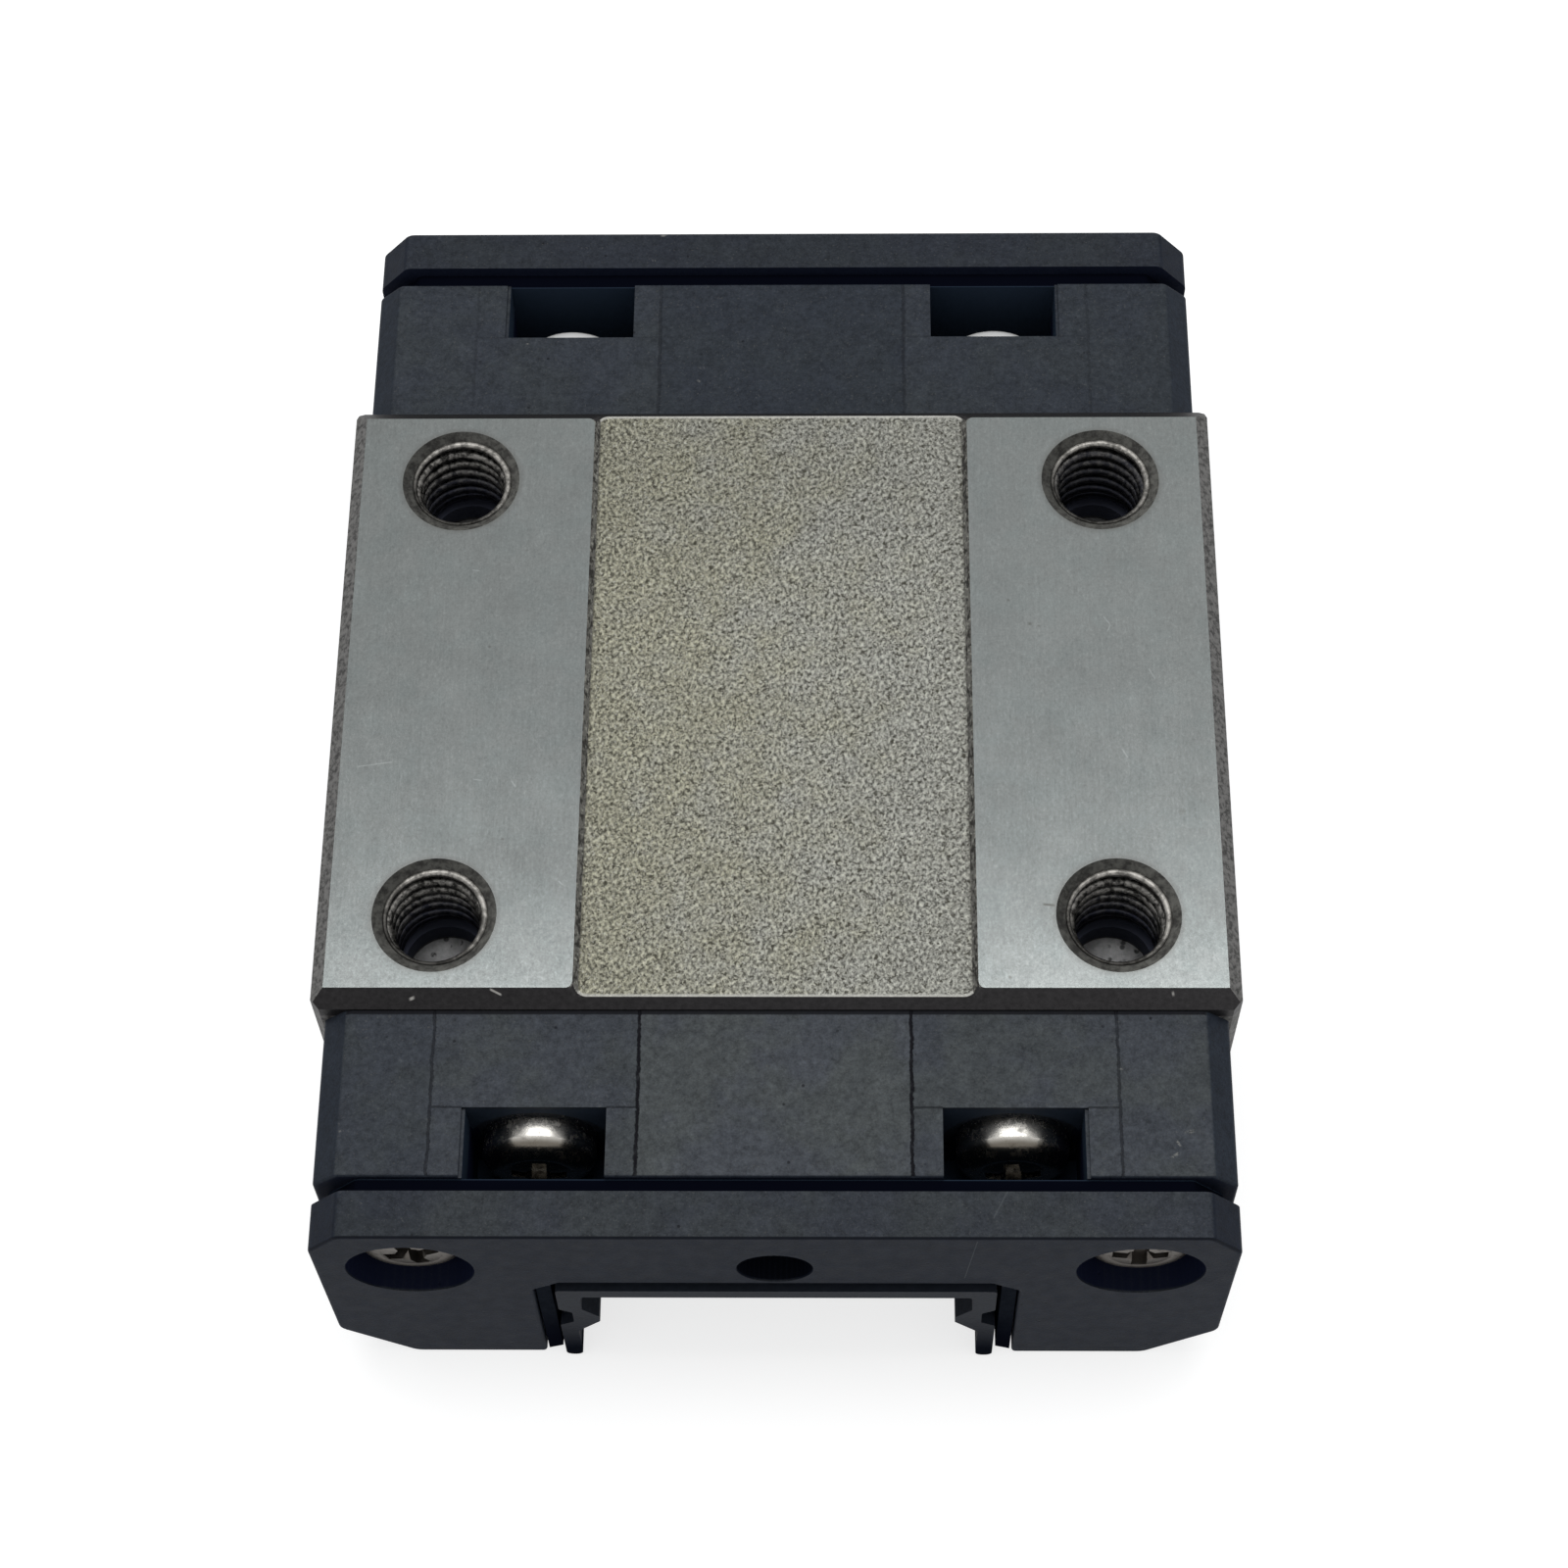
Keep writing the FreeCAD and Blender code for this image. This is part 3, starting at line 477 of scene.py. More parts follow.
def pad_finish(paint, lines, hole, ragged):
    """The ground pads: faint lengthwise lines, clouds, a painted sheen towards the front end with a painted
    highlight along the front edge, and the marks of use.
    """
    strands = paint.noise(0.16, 3, 0.65, stretch=(1, 16, 1), turn=-2)
    sweeps = paint.noise(0.09, 2, 0.7, stretch=(1, 22, 1), turn=-16)
    clouds = paint.noise(2.4, 4, 0.6)
    speckle = paint.noise(0.07, 2, 0.7)
    grain = paint.noise(0.14, 4, 0.8) - 0.5
    dashes = paint.noise(0.075, 2, 0.6, stretch=(1, 2.2, 1), turn=-6)
    # Painted sheen: the pads grow brighter, with stronger grain, towards the front
    wear_and_sheen = paint.y.rise(SHEEN_FROM, SHEEN_TO)
    # Painted highlight: a light line along the pads' front edge
    front_edge_highlight = paint.y.rise(PAD_FRONT + 0.03, PAD_FRONT - 0.03)
    level = lines * 0.10 + strands * 0.08 + sweeps * 0.08 + clouds * 0.22 + speckle * 0.20 + 0.68
    level = level + dashes.rise(0.54, 0.72) * 0.13 - dashes.rise(0.46, 0.30) * 0.09
    level = level + grain * (wear_and_sheen * 0.70 + 0.36) + wear_and_sheen * 0.12 + front_edge_highlight * 0.10 + paint.x * 0.0038
    pads = paint.shade(PAD_GREY, level)
    tint = paint.noise(1.3, 3, 0.6).rise(0.42, 0.64)
    pads = paint.mix(pads, paint.shade(PAD_GREEN, level), tint * 0.45)
    stains = paint.cells(2.3).rise(0.075, 0.02) * paint.noise(1.7).rise(0.5, 0.7)
    pads = paint.mix(pads, PAD_STAIN, stains * 0.5)
    pits = paint.cells(0.9).rise(0.045, 0.02)
    pads = paint.mix(pads, PAD_PIT, pits * 0.4)
    pads = paint.mix(pads, MARK_LIGHT, paint.strokes(paint.x, paint.y, PAD_LIGHT_MARKS) * 0.24)
    pads = paint.mix(pads, MARK_DARK, paint.strokes(paint.x, paint.y, PAD_DARK_MARKS) * 0.6)
    smudge = (hole + ragged).rise(HOLE_MOUTH_RADIUS + 0.2, HOLE_MOUTH_RADIUS)
    return paint.mix(pads, PAD_SMUDGE, smudge * 0.45)


def band_finish(paint, grain, ragged):
    """The rough band: pale grains with painted glints, dark pits, painted shadow at the foot of its side
    walls, yellower on the left, with pale ends.
    """
    patches = (paint.noise(1.7, 4, 0.65) * 0.6 - paint.x * 0.026 + 0.2).rise(0.34, 0.68)
    tone = paint.mix(BAND_GREY, BAND_OLIVE, patches)
    tone = paint.shade(tone, paint.noise(0.9, 3, 0.6) * 0.3 + 0.87 - paint.y.rise(2.0, 9.0) * 0.17)
    band = paint.shade(tone, grain * 1.45 + 0.24)
    # Painted highlights: pale specks that stand for glints on the grains
    painted_glints = paint.noise(0.085, 2, 0.6, turn=40).rise(0.57, 0.72)
    band = paint.mix(band, BAND_PAINTED_GLINT, painted_glints * 0.62)
    pits = paint.noise(0.115, 2, 0.55, turn=-30, distortion=0.5).rise(0.45, 0.33)
    band = paint.mix(band, BAND_PIT, pits * 0.9)
    # Painted shadow along the foot of the step on each side of the band
    step_shadow = (abs(paint.x) + ragged).rise(BAND_EDGE - 0.10, BAND_EDGE + 0.04)
    band = paint.mix(band, BAND_STEP_SHADOW, step_shadow * 0.6)
    at_end = abs(paint.y).rise(BAND_END - BAND_CORNER + 0.08, BAND_END - BAND_CORNER + 0.22)
    end = (band_outline(paint) + ragged * 0.3).rise(-0.11, -0.05) * at_end
    return paint.mix(band, BAND_PALE_END, end * 0.75)


def band_outline(paint):
    """How far outside the band's rounded end a place lies, and below 0 inside it."""
    past_x = (abs(paint.x) - (BAND_HALF - BAND_CORNER)).at_least(0)
    past_y = (abs(paint.y) - (BAND_END - BAND_CORNER)).at_least(0)
    return paint.distance(past_x, past_y, (0, 0)) - BAND_CORNER


def band_wall(paint, ragged):
    """The low step beside the band, with dark dashes where dirt has stayed."""
    dashes = paint.noise(0.15, 3, 0.7, stretch=(1, 1.8, 1)).rise(0.46, 0.58)
    chips = paint.noise(0.11, 2, 0.6).rise(0.54, 0.66)
    wall = paint.mix(BAND_WALL, BAND_GREY, chips * 0.8)
    return paint.mix(wall, WALL_DIRT, dashes * 0.85)


def nearest_hole(paint):
    """Distance from the middle of the nearest of the four holes."""
    corners = [(x, y) for x in (-HOLE_X, HOLE_X) for y in (-HOLE_Y, HOLE_Y)]
    nearest = paint.distance(paint.x, paint.y, corners[0])
    for place in corners[1:]:
        nearest = nearest.at_most(paint.distance(paint.x, paint.y, place))
    return nearest


def hole_finish(paint):
    """Inside a hole: a dull turned mouth, a dark wall and a dusty floor with dark crumbs."""
    depth = -(paint.z - BODY_TOP)
    towards_light = paint.normal_y * 0.45 - paint.normal_x * 0.4 + 1
    wear_and_sheen = paint.noise(0.28, 4, 0.75).rise(0.34, 0.66)
    mouth = paint.shade(paint.mix(MOUTH_DARK, MOUTH_WORN, wear_and_sheen), towards_light)
    wall = paint.mix(mouth, WALL_DARK, depth.rise(0.4, 2.4))
    crumbs = paint.cells(0.36).rise(0.32, 0.16) * paint.noise(0.3, 2, 0.6).rise(0.42, 0.50)
    floor = paint.shade(HOLE_FLOOR, paint.noise(0.3, 4, 0.75) * 1.6 + 0.2)
    floor = paint.mix(floor, CRUMB_BLACK, crumbs)
    return paint.mix(wall, floor, depth.rise(HOLE_DEPTH - 0.15, HOLE_DEPTH - 0.05))


def past_band_corner(paint, beside_band):
    """1 outside the band's rounded corners, where the bevel's brown comes up to them."""
    near_end = abs(paint.y).rise(BAND_END - 0.40, BAND_END - 0.35)
    below_pads = paint.z.rise(BODY_TOP - 0.02, BODY_TOP - 0.04)
    return band_outline(paint).rise(-0.01, 0.015) * near_end * beside_band * below_pads


def port_shade_mask(paint):
    """1 on the end faces where they show through the port, where painted shade darkens them."""
    inside = paint.distance(paint.x, paint.z, (0, PORT_Z)).rise(PORT_RADIUS + 0.3, PORT_RADIUS + 0.1)
    return inside * abs(paint.normal_y).rise(0.9, 0.97)


def ground_steel():
    """The body: ground pads, rough band, scaly sides, brown end bevels and dirty holes."""
    paint = Paint("ground_steel", metallic=1.0, roughness=0.3)
    ragged = paint.noise(0.2, 3, 0.7) * 0.12 - 0.06
    lines = paint.noise(0.05, 3, 0.7, stretch=(1, 45, 1), turn=1.5)
    grain = paint.noise(0.10, 3, 0.6, stretch=(1, 1.3, 1), turn=-30).rise(0.28, 0.72)
    scale = paint.noise(0.16, 3, 0.7)

    # Where each finish lies
    flat = paint.normal_z.rise(0.93, 0.98)
    low = paint.z.rise(BODY_TOP - BAND_DEPTH * 0.4, BODY_TOP - BAND_DEPTH * 0.9)
    on_band = (abs(paint.x) + ragged).rise(BAND_HALF + 0.02, BAND_HALF - 0.02) * low * flat
    beside_band = abs(paint.x).rise(BAND_HALF + 0.1, BAND_HALF + 0.05)
    beside_band = beside_band * paint.z.rise(BODY_TOP - 0.3, BODY_TOP - 0.25)
    on_bevel = abs(paint.normal_y).rise(0.35, 0.6) * paint.z.rise(BODY_TOP - 1, BODY_TOP - 0.9)
    hole = nearest_hole(paint)
    in_hole = hole.rise(HOLE_MOUTH_RADIUS + 0.01, HOLE_MOUTH_RADIUS - 0.01)

    # The finishes, from the sides up to the holes
    side = paint.mix(SIDE_DARK, SIDE_SCALE, scale.rise(0.32, 0.62))
    colour = paint.mix(side, band_wall(paint, ragged), beside_band)
    colour = paint.mix(colour, pad_finish(paint, lines, hole, ragged), flat)
    colour = paint.mix(colour, band_finish(paint, grain, ragged), on_band)
    end_bevel = paint.shade(BEVEL_BROWN, (scale * 1.1 + 0.45) * (paint.x * 0.015 + 1.33))
    colour = paint.mix(colour, end_bevel, on_bevel)
    colour = paint.mix(colour, end_bevel, past_band_corner(paint, beside_band))
    # Painted shade on the steel seen through the port
    colour = paint.mix(colour, PORT_SHADE_STEEL, port_shade_mask(paint))
    nicks = paint.strokes(paint.x, paint.y, BEVEL_NICKS) * on_bevel
    colour = paint.mix(colour, NICK_BRIGHT, nicks * 0.75)
    colour = paint.mix(colour, hole_finish(paint), in_hole)

    # The pads shine, and the rest is duller
    rough = on_band.at_least(on_bevel).at_least(flat.rise(1, 0))
    dull = (rough - on_bevel).at_least(in_hole)
    roughness = rough * 0.3 + lines * 0.07 + paint.noise(1.2, 2) * 0.06 + 0.13
    relief = lines * 0.0012 * rough.rise(1, 0) + grain * on_band * 0.045 + scale * rough * 0.010
    return paint.finish(colour, roughness, relief, dull * -0.8 + 1, specular=dull * -0.44 + 0.5)


# Plastics

CAP_BLACK = (0.0195, 0.0245, 0.0340)
PLATE_BLACK = (0.0112, 0.0146, 0.0232)
DUST_AND_LIGHT_GREY = (0.084, 0.092, 0.093)
DUST_AND_LIGHT_BLUE = (0.078, 0.085, 0.097)
DUST_PALE = (0.13, 0.13, 0.125)
SPECK_PALE = (0.20, 0.20, 0.19)
HAIR_GREY = (0.12, 0.13, 0.14)
PIT_BLACK = (0.008, 0.008, 0.010)
SEAM_BLACK = (0.004, 0.004, 0.006)
PLATE_EDGE_SHADE = (0.006, 0.007, 0.010)
HOLLOW_SHADE_COLOUR = (0.0105, 0.0135, 0.0340)
WINDOW_SHADE_COLOUR = (0.026, 0.040, 0.064)
PORT_SHADE_COLOUR = (0.003, 0.004, 0.006)
GUIDE_BLACK = (0.035, 0.035, 0.038)
RUBBER_BLACK = (0.0160, 0.0195, 0.0270)
RUBBER_DUST = (0.07, 0.068, 0.062)
RUBBER_SHADE = (0.0045, 0.0055, 0.0120)
SHEET_SHADE_COLOUR = (0.0020, 0.0026, 0.0065)

# A hair lies over the front plate's upper edge, and the caps have a few pale specks
HAIR_ON_TOP = ((6.62, -15.80), (6.16, -16.70), 0.03)
HAIR_IN_FRONT = ((5.71, 9.74), (5.44, 6.68), 0.022)
CAP_SPECKS = (
    ((11.68, -14.06), (11.88, -14.00), 0.07),
    ((11.24, -14.80), (11.46, -14.66), 0.06),
    ((11.40, -14.30), (11.50, -14.45), 0.05),
    ((9.86, -12.10), (9.94, -12.12), 0.05),
    ((-12.40, -14.04), (-12.34, -14.02), 0.05),
    ((-3.98, 17.16), (-3.82, 17.24), 0.07),
    ((-4.22, 16.20), (-4.16, 16.20), 0.06),
    ((-2.68, 11.62), (-2.62, 11.58), 0.06),
    ((-8.22, 13.06), (-8.16, 13.04), 0.05),
)


def front_half(paint):
    return paint.y.rise(0.1, -0.1)


def on_plates(paint):
    return abs(paint.y).rise(SHEET_FACE - 0.1, SHEET_FACE)


def mould_seams(paint):
    """Wavy joint lines of the mould across the caps, and fainter ones beside the windows."""
    wide_x = abs(paint.x)
    deep_y = abs(paint.y)
    wobble = paint.noise(0.45, 3, 0.65) * 0.14 + paint.noise(0.13, 2, 0.7) * 0.08 - 0.11
    strength = paint.noise(0.7, 3, 0.6).rise(0.25, 0.5) * 0.5 + 0.5
    inner = abs(wide_x + wobble - SEAM_INNER_X).rise(0.07, 0.02)
    outer = abs(wide_x - wobble - SEAM_OUTER_X).rise(0.06, 0.015) * 0.6
    beside = wide_x.between(SEAM_INNER_X, WINDOW_X - WINDOW_HALF, 0.02)
    beside = beside.at_least(wide_x.between(WINDOW_X + WINDOW_HALF, SEAM_OUTER_X, 0.02))
    cross = abs(deep_y + wobble * 0.3 - WINDOW_WALL).rise(0.04, 0.01) * beside * 0.55
    on_top = deep_y.rise(CAP_END, CAP_END - 0.05) * paint.z.rise(CAP_TOP - 0.6, CAP_TOP - 0.4)
    faint_at_rear = front_half(paint) * 0.6 + 0.4
    return inner.at_least(outer).at_least(cross) * strength * on_top * faint_at_rear


def painted_hollow_shade(paint):
    """Masks for painted shade: in the screw windows, in all the other hollows of caps and plates, and in the
    port alone.
    """
    wide_x = abs(paint.x)
    deep_y = abs(paint.y)
    window_shade = abs(wide_x - WINDOW_X).rise(WINDOW_HALF + 0.01, WINDOW_HALF - 0.01)
    window_shade = window_shade * deep_y.between(WINDOW_WALL, CAP_END, 0.02) * paint.z.rise(CAP_TOP - 0.13, CAP_TOP - 0.2)
    window_shade = window_shade * paint.z.rise(WINDOW_FLOOR - 0.5, WINDOW_FLOOR - 0.3)
    bore = paint.distance(wide_x, paint.z, (PLATE_SCREW_X, SCREW_Z))
    bore = bore.rise(COUNTERBORE_RADIUS + 0.03, COUNTERBORE_RADIUS - 0.01)
    bore = bore * deep_y.rise(PLATE_FACE - 0.02, PLATE_FACE - 0.09)
    gap = abs(paint.normal_y).rise(0.9, 0.97) * deep_y.between(CAP_END, SHEET_FACE, 0.08)
    port = paint.distance(paint.x, paint.z, (0, PORT_Z)).rise(PORT_RADIUS + 0.02, PORT_RADIUS - 0.01)
    port = port * deep_y.rise(PLATE_FACE - 0.02, PLATE_FACE - 0.09)
    return window_shade, bore.at_least(gap).at_least(port), port


def dust_and_light_share(paint):
    """How much dust and painted light lies on what faces up: most in the middle of the front cap, least on
    the rear plate.
    """
    front = front_half(paint)
    left_end = paint.x.rise(0.25 - SEAM_OUTER_X, -0.25 - SEAM_OUTER_X)
    middle = abs(paint.x).rise(SEAM_INNER_X + 0.03, SEAM_INNER_X - 0.03)
    on_cap = front * (middle * 0.335 + paint.x * 0.007 + 0.36) - paint.x * 0.004 - middle * 0.115 + 0.33
    on_plate = front * 0.20 - middle * 0.02 + 0.29
    return (on_cap + on_plates(paint) * (on_plate - on_cap)) * (left_end * front * -0.27 + 1)


def fallen_hair(paint, dust_and_top_light):
    """1 along the hair, on the front plate's face and then over its top."""
    on_face = paint.y.rise(-PLATE_FACE + 0.06, -PLATE_FACE + 0.02)
    in_front = paint.stroke(paint.x, paint.z, *HAIR_IN_FRONT) * on_face
    return in_front.at_least(paint.stroke(paint.x, paint.y, *HAIR_ON_TOP) * dust_and_top_light)


def cap_plastic():
    """Moulded caps and plates: black, with dust and painted light on what faces up, and worn moulding detail.
    """
    paint = Paint("cap_plastic")
    # Dust and painted light together lie on what faces up: the tops are lighter than the faces and facets
    dust_and_top_light = paint.normal_z.rise(0.74, 0.96)
    tint = paint.mix(DUST_AND_LIGHT_GREY, DUST_AND_LIGHT_BLUE, paint.noise(2.3, 3, 0.6).rise(0.40, 0.60))
    share = (paint.noise(0.8, 4, 0.65) * 0.6 + 0.5) * dust_and_light_share(paint)
    colour = paint.mix(paint.mix(CAP_BLACK, PLATE_BLACK, on_plates(paint)), tint, dust_and_top_light * share)
    mottle = paint.noise(0.20, 4, 0.8) * 1.5 + paint.noise(0.07, 2, 0.7) * 0.9 - 0.52
    mottle = mottle + paint.noise(0.7, 3, 0.65) * 0.6
    colour = paint.shade(colour, mottle)
    dust = paint.noise(0.085, 3, 0.8).rise(0.57, 0.74)
    colour = paint.mix(colour, DUST_PALE, dust * (dust_and_top_light * 0.45 + 0.03))
    pits = paint.cells(0.8, turn=30).rise(0.07, 0.03) * paint.noise(1.1, 2).rise(0.4, 0.55)
    colour = paint.mix(colour, PIT_BLACK, pits * 0.7)
    specks = paint.strokes(paint.x, paint.y, CAP_SPECKS) * paint.noise(0.09, 2, 0.7).rise(0.42, 0.56)
    colour = paint.mix(colour, SPECK_PALE, specks * dust_and_top_light * 0.8)

    seams = mould_seams(paint)
    colour = paint.mix(colour, SEAM_BLACK, seams)
    # Painted shade darkens the plates' rounded upper outer edges
    edge_shade = abs(paint.normal_y).rise(0.25, 0.5) * paint.normal_z.rise(0.2, 0.5)
    edge_shade = edge_shade * abs(paint.y).rise(PLATE_FACE - 0.2, PLATE_FACE - 0.1)
    colour = paint.mix(colour, PLATE_EDGE_SHADE, edge_shade * 0.75)
    joint = paint.y.rise(-BODY_END - 0.15, -BODY_END - 0.10) * dust_and_top_light * front_half(paint)
    colour = paint.mix(colour, SEAM_BLACK, joint * 0.9)
    window_shade, hollow_shade, port = painted_hollow_shade(paint)
    # Painted shade in the windows, the counterbores, the gap before the seal's sheet and the port
    colour = paint.mix(colour, WINDOW_SHADE_COLOUR, window_shade * 0.95)
    colour = paint.mix(colour, HOLLOW_SHADE_COLOUR, hollow_shade * 0.95)
    colour = paint.mix(colour, PORT_SHADE_COLOUR, port)
    colour = paint.mix(colour, HAIR_GREY, fallen_hair(paint, dust_and_top_light) * 0.28)

    roughness = paint.noise(0.4, 3, 0.6) * 0.2 + dust * 0.1 + 0.5
    relief = paint.noise(0.09, 3, 0.6) * 0.008 - seams * 0.05 - pits * 0.02
    return paint.finish(colour, roughness, relief, specular=hollow_shade.at_least(window_shade) * -0.06 + 0.06)


def guide_plastic():
    """Smooth dark plastic of the return guides and tubes."""
    paint = Paint("guide_plastic", specular=0.3)
    colour = paint.shade(GUIDE_BLACK, paint.noise(0.5, 3) * 0.7 + 0.65)
    return paint.finish(colour, paint.noise(0.3, 2) * 0.2 + 0.35, paint.noise(0.08, 2) * 0.004)


def seal_rubber():
    """Rubber: dull black, with painted shade low down and on the collar, near-black painted shade where the
    sheet's edge lies between cap and plate, and on faces towards the cap.
    """
    paint = Paint("seal_rubber")
    colour = paint.shade(RUBBER_BLACK, paint.noise(0.3, 3, 0.7) * 0.9 + 0.55)
    dust = paint.noise(0.12, 3, 0.8).rise(0.6, 0.8)
    colour = paint.mix(colour, RUBBER_DUST, dust * 0.12)
    # Painted shade darkens the seal towards the bottom, more on the collar
    low = paint.z.rise(SEAL_PLAIN_Z, SEAL_DARK_Z)
    collar = abs(paint.x).rise(COLLAR_INNER_X - 0.08, COLLAR_INNER_X - 0.02)
    collar = collar * paint.z.rise(COLLAR_TOP + 0.15, COLLAR_TOP - 0.15)
    colour = paint.mix(colour, RUBBER_SHADE, (collar * 0.35 + 0.55) * low)
    # Painted shade on the sheet's edge between cap and plate, and on what faces the cap
    sheet_edge_shade = abs(paint.y).rise(SHEET_FACE + 0.04, SHEET_FACE)
    colour = paint.mix(colour, SHEET_SHADE_COLOUR, sheet_edge_shade * 0.97)
    facing_cap = abs(paint.y).rise(CAP_END + 0.04, CAP_END + 0.01)
    colour = paint.mix(colour, WINDOW_SHADE_COLOUR, facing_cap * 0.9)
    shine = sheet_edge_shade.at_least(low).at_least(collar) * -0.06 + 0.06
    return paint.finish(colour, dust * 0.1 + 0.55, paint.noise(0.1, 3) * 0.008, specular=shine)


# Metals of the small parts

GRIME = (0.030, 0.028, 0.025)
HEAD_WARM = (0.54, 0.525, 0.49)
HEAD_SHADE_BROWN = (0.085, 0.070, 0.050)
HEAD_GLINT_WHITE = (0.98, 0.98, 0.975)
PLATE_SCREW_BROWN = (0.11, 0.10, 0.09)
BALL_STEEL = (0.75, 0.75, 0.76)
STRIP_STEEL = (0.42, 0.42, 0.42)
EDGE_HIGHLIGHT = (0.30, 0.29, 0.27)
THREAD_WORN = (0.165, 0.160, 0.150)
THREAD_DEEP_SHADE = (0.030, 0.033, 0.052)
THREAD_OILY = (0.026, 0.027, 0.034)


def small_steel(name, colour, roughness, dirt, scratch):
    """Steel of the screws, strips and balls, with fine wear and dirt."""
    paint = Paint(name, metallic=1.0)
    wear = paint.noise(0.09, 3, 0.6) * scratch + 1 - scratch / 2
    tone = paint.shade(colour, wear)
    grime = paint.noise(0.35, 3, 0.7).rise(0.5, 0.75)
    tone = paint.mix(tone, GRIME, grime * dirt)
    rough = grime * 0.25 + paint.noise(0.2, 2) * 0.08 + roughness
    return paint.finish(tone, rough, paint.noise(0.05, 2) * 0.0015)


def cap_screw_steel():
    """Steel heads: the front ones painted brown as shade where they round off, the rear ones smoother with a
    painted white glint.
    """
    paint = Paint("cap_screw_steel", metallic=1.0)
    rear_heads = paint.y.rise(-1, 1)
    tone = paint.shade(HEAD_WARM, paint.noise(0.09, 3, 0.6) * 0.4 + 0.8)
    grime = paint.noise(0.3, 3, 0.7).rise(0.52, 0.74)
    tone = paint.mix(tone, GRIME, grime * 0.45)
    # Painted shade: the front heads turn brown where they round off
    rounded_shade = abs(paint.y).rise(SCREW_RIM_END - 0.06, SCREW_RIM_END + 0.20)
    tone = paint.mix(tone, HEAD_SHADE_BROWN, rounded_shade * (rear_heads * -0.85 + 0.85))
    # Painted highlight: a white, less metallic glint on the rim and the start of the rounding of the rear
    # heads, which are also smoother
    painted_glint = rear_heads * paint.y.rise(SCREW_RIM_END + 0.5, SCREW_RIM_END + 0.3)
    tone = paint.mix(tone, HEAD_GLINT_WHITE, painted_glint)
    rough = (grime * 0.25 + paint.noise(0.2, 2) * 0.08 + 0.2) * (rear_heads * -0.6 + 1)
    return paint.finish(tone, rough, paint.noise(0.05, 2) * 0.0015, painted_glint * -0.75 + 1)


def thread_steel():
    """Thread turns: a painted highlight near the mouth, painted shade further down, and oil further down in
    the right rear hole.
    """
    paint = Paint("thread_steel", metallic=1.0)
    depth = -(paint.z - BODY_TOP)
    across = paint.x - paint.x.math("SIGN") * HOLE_X
    along = paint.y - paint.y.math("SIGN") * HOLE_Y
    dirt = paint.noise(0.2, 3, 0.75)
    tone = paint.shade(THREAD_WORN, dirt.rise(0.36, 0.66) * 1.2 + 0.10)
    # Painted highlight: the ring and the turns near the mouth are bright, most on each hole's right rear side
    lit_side = (across * 0.5 + along * 0.87).rise(-1.3, 1.2) * 0.85 + 0.15
    patches = paint.noise(0.25, 3, 0.7).rise(0.36, 0.62)
    wear_and_sheen = paint.shade(EDGE_HIGHLIGHT, (patches * 0.65 + 0.35) * lit_side)
    tone = paint.mix(wear_and_sheen, tone, depth.rise(0.30, 0.38))
    # Painted shade darkens the turns further down the hole
    tone = paint.mix(tone, THREAD_DEEP_SHADE, depth.rise(0.9, 3.0) * 0.85)
    oil = paint.x.rise(-1, 1) * paint.y.rise(-1, 1) * depth.rise(0.35, 0.6)
    tone = paint.mix(tone, THREAD_OILY, oil * (patches * 0.35 + 0.45))
    return paint.finish(tone, dirt * 0.25 + 0.33, dirt * 0.012)


# Thread turns in the four holes of the top

THREAD_PITCH = 0.5
THREAD_INNER = 1.27
THREAD_TOP = 0.30
THREAD_TURNS = 6
STEPS_A_TURN = 60
# Half the ridge's width where it leaves the wall and at its crest
RIDGE_ROOT = 0.2
RIDGE_CREST = 0.05
# The ridge starts this far inside the wall, and never sinks to nothing at its two ends
ROOT_OVERLAP = 0.02
LEAST_GROWTH = 0.02
RUN_OUT_STEPS = 30


def thread_turns(name, x, y):
    """A helical ridge inside a hole, from just under its mouth downwards."""
    count = THREAD_TURNS * STEPS_A_TURN
    root = HOLE_RADIUS + ROOT_OVERLAP
    points = []
    for step in range(count + 1):
        angle = 2 * math.pi * step / STEPS_A_TURN
        z = BODY_TOP - THREAD_TOP - THREAD_PITCH * step / STEPS_A_TURN
        grown = min(1, step / RUN_OUT_STEPS, (count - step) / RUN_OUT_STEPS)
        crest = HOLE_RADIUS - (HOLE_RADIUS - THREAD_INNER) * max(grown, LEAST_GROWTH)
        section = ((root, RIDGE_ROOT), (crest, RIDGE_CREST), (crest, -RIDGE_CREST), (root, -RIDGE_ROOT))
        for radius, rise in section:
            points.append((x + radius * math.cos(angle), y - radius * math.sin(angle), z + rise))
    faces = [(3, 2, 1, 0)]
    for step in range(count):
        here = 4 * step
        for side in range(4):
            after = (side + 1) % 4
            faces.append((here + side, here + after, here + 4 + after, here + 4 + side))
    last = 4 * count
    faces.append((last, last + 1, last + 2, last + 3))
    return add_piece(name, points, faces, "block")


# The edge where a hole's mouth meets the thread, widest at the right rear, with a painted highlight

EDGE_RADIUS = 1.475
EDGE_WIRE = 0.095
EDGE_SPREAD = 0.03
EDGE_WIDEST = math.radians(50)
EDGE_DEPTH = 0.235
EDGE_STEPS = 72
EDGE_ROUND_STEPS = 10


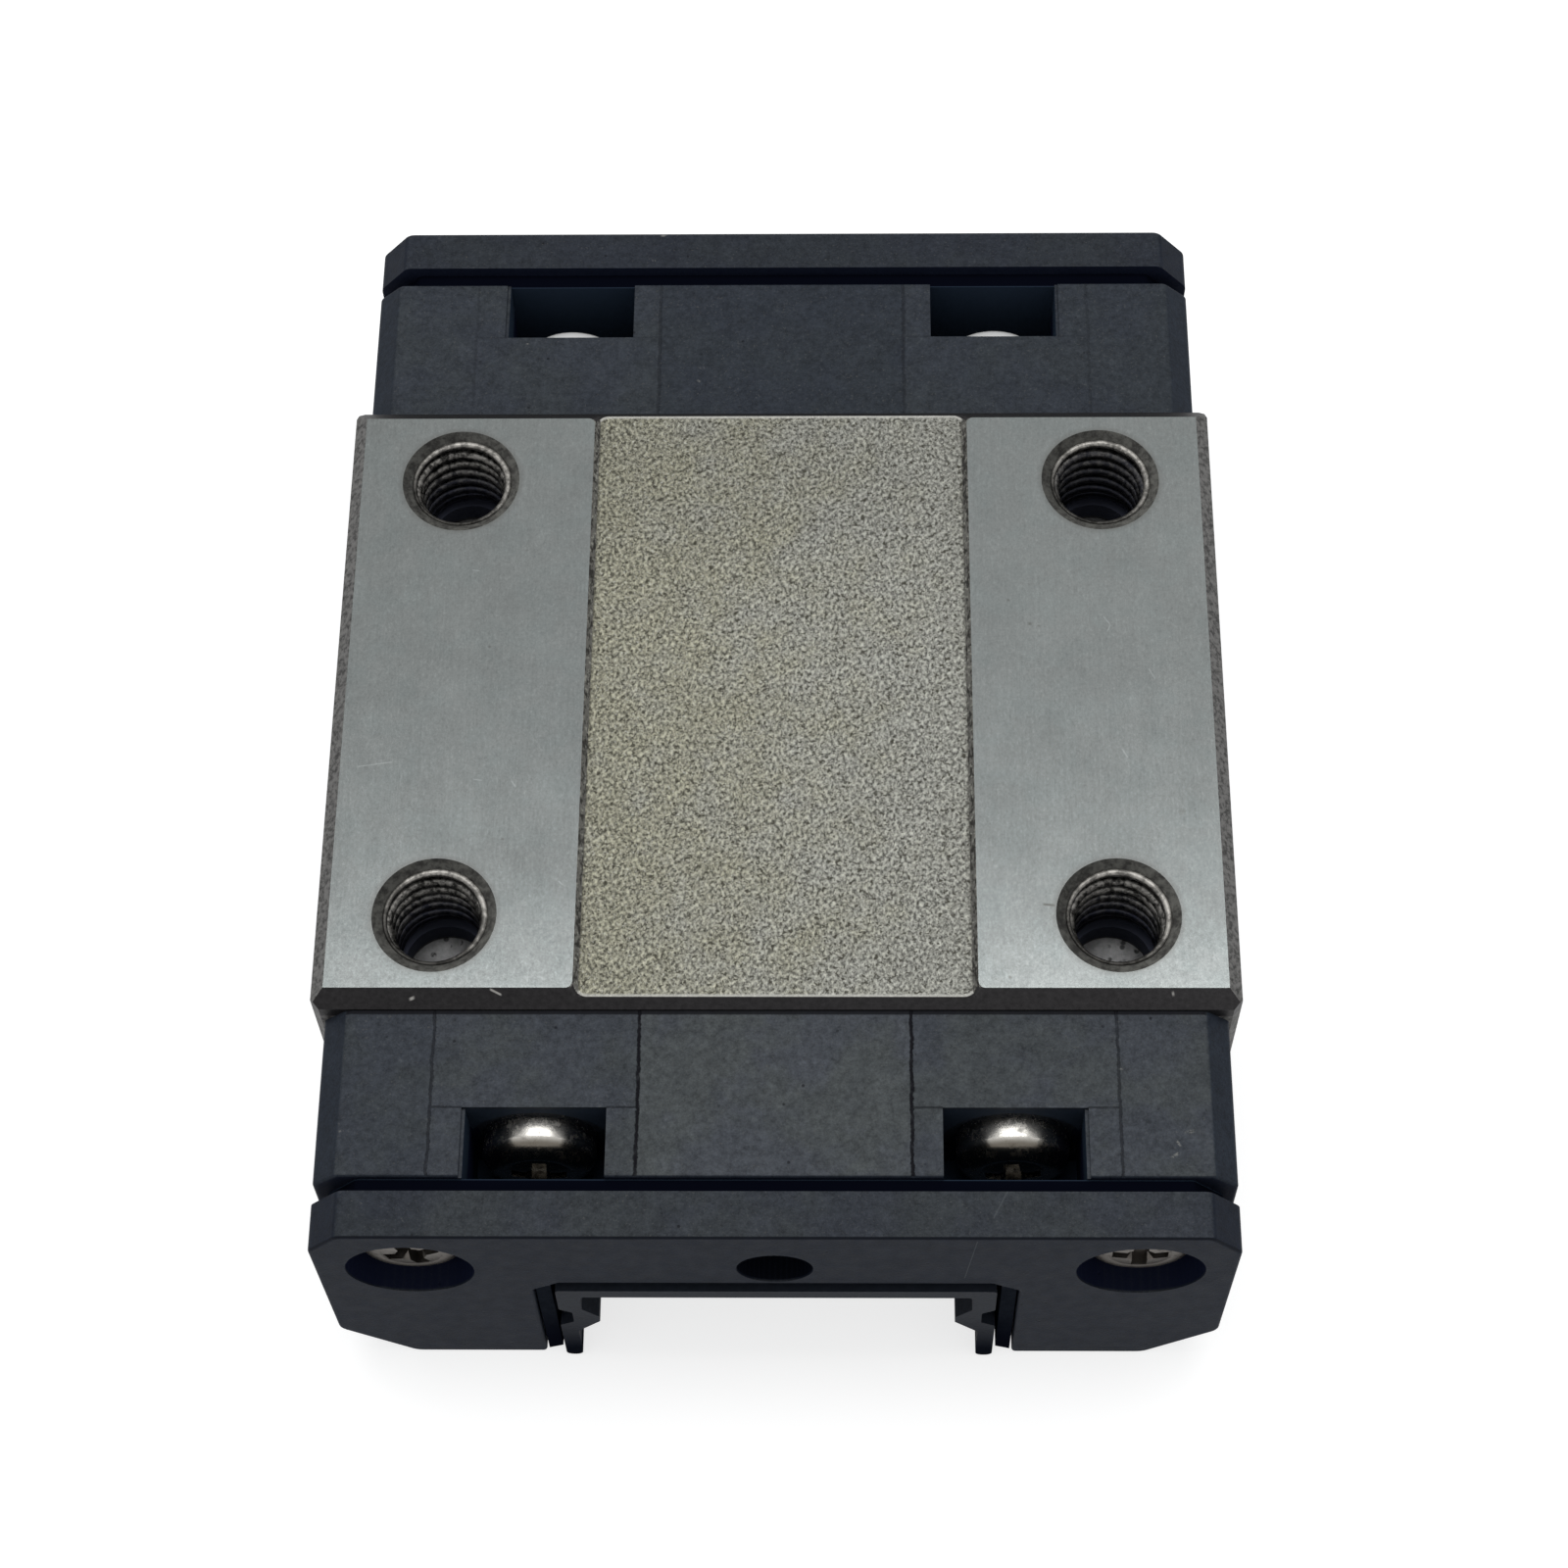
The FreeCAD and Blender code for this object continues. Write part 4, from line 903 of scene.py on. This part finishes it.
def mouth_ring(name, x, y):
    """A ring, painted bright as a highlight, that is thicker on its widest side."""
    points = []
    for step in range(EDGE_STEPS):
        angle = 2 * math.pi * step / EDGE_STEPS
        wire = EDGE_WIRE + EDGE_SPREAD * math.cos(angle - EDGE_WIDEST)
        for turn in range(EDGE_ROUND_STEPS):
            around = 2 * math.pi * turn / EDGE_ROUND_STEPS
            radius = EDGE_RADIUS + wire * math.cos(around)
            z = BODY_TOP - EDGE_DEPTH + wire * math.sin(around)
            points.append((x + radius * math.cos(angle), y + radius * math.sin(angle), z))
    faces = []
    for step in range(EDGE_STEPS):
        here = step * EDGE_ROUND_STEPS
        after = (step + 1) % EDGE_STEPS * EDGE_ROUND_STEPS
        for turn in range(EDGE_ROUND_STEPS):
            beside = (turn + 1) % EDGE_ROUND_STEPS
            faces.append((here + turn, after + turn, after + beside, here + beside))
    return add_piece(name, points, faces, "block")


def add_piece(name, points, faces, body):
    """A smooth-shaded mesh from points in millimetres that rides on a body."""
    mesh = bpy.data.meshes.new(name)
    mesh.from_pydata([tuple(c * MM for c in p) for p in points], [], faces)
    mesh.validate()
    mesh.shade_smooth()
    piece = bpy.data.objects.new(name, mesh)
    bpy.context.scene.collection.objects.link(piece)
    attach(piece, body)
    return piece


def paint_node(node, material):
    """Puts a material in every slot of a node's mesh."""
    data = NODES[node].data
    for place in range(len(data.materials)):
        data.materials[place] = material
    if not data.materials:
        data.materials.append(material)


add_camera()
add_studio()
add_floor()

MATERIALS = {
    "ground_steel": ground_steel(),
    "cap_plastic": cap_plastic(),
    "guide_plastic": guide_plastic(),
    "seal_rubber": seal_rubber(),
    "cap_screw_steel": cap_screw_steel(),
    "plate_screw_steel": small_steel(
        "plate_screw_steel", PLATE_SCREW_BROWN, roughness=0.36, dirt=0.6, scratch=0.3),
    "ball_steel": small_steel("ball_steel", BALL_STEEL, roughness=0.08, dirt=0.05, scratch=0.03),
    "strip_steel": small_steel("strip_steel", STRIP_STEEL, roughness=0.3, dirt=0.3, scratch=0.1),
}
for part in frame["record"]["subparts"]:
    paint_node(part["node"], MATERIALS[part["material_slot"]])

THREAD_MATERIAL = thread_steel()
for end, sign_y in (("front", -1), ("rear", 1)):
    for side, sign_x in (("left", -1), ("right", 1)):
        place = (sign_x * HOLE_X, sign_y * HOLE_Y)
        turns = thread_turns(f"{end}_{side}_hole_thread", *place)
        ring = mouth_ring(f"{end}_{side}_hole_edge", *place)
        turns.data.materials.append(THREAD_MATERIAL)
        ring.data.materials.append(THREAD_MATERIAL)
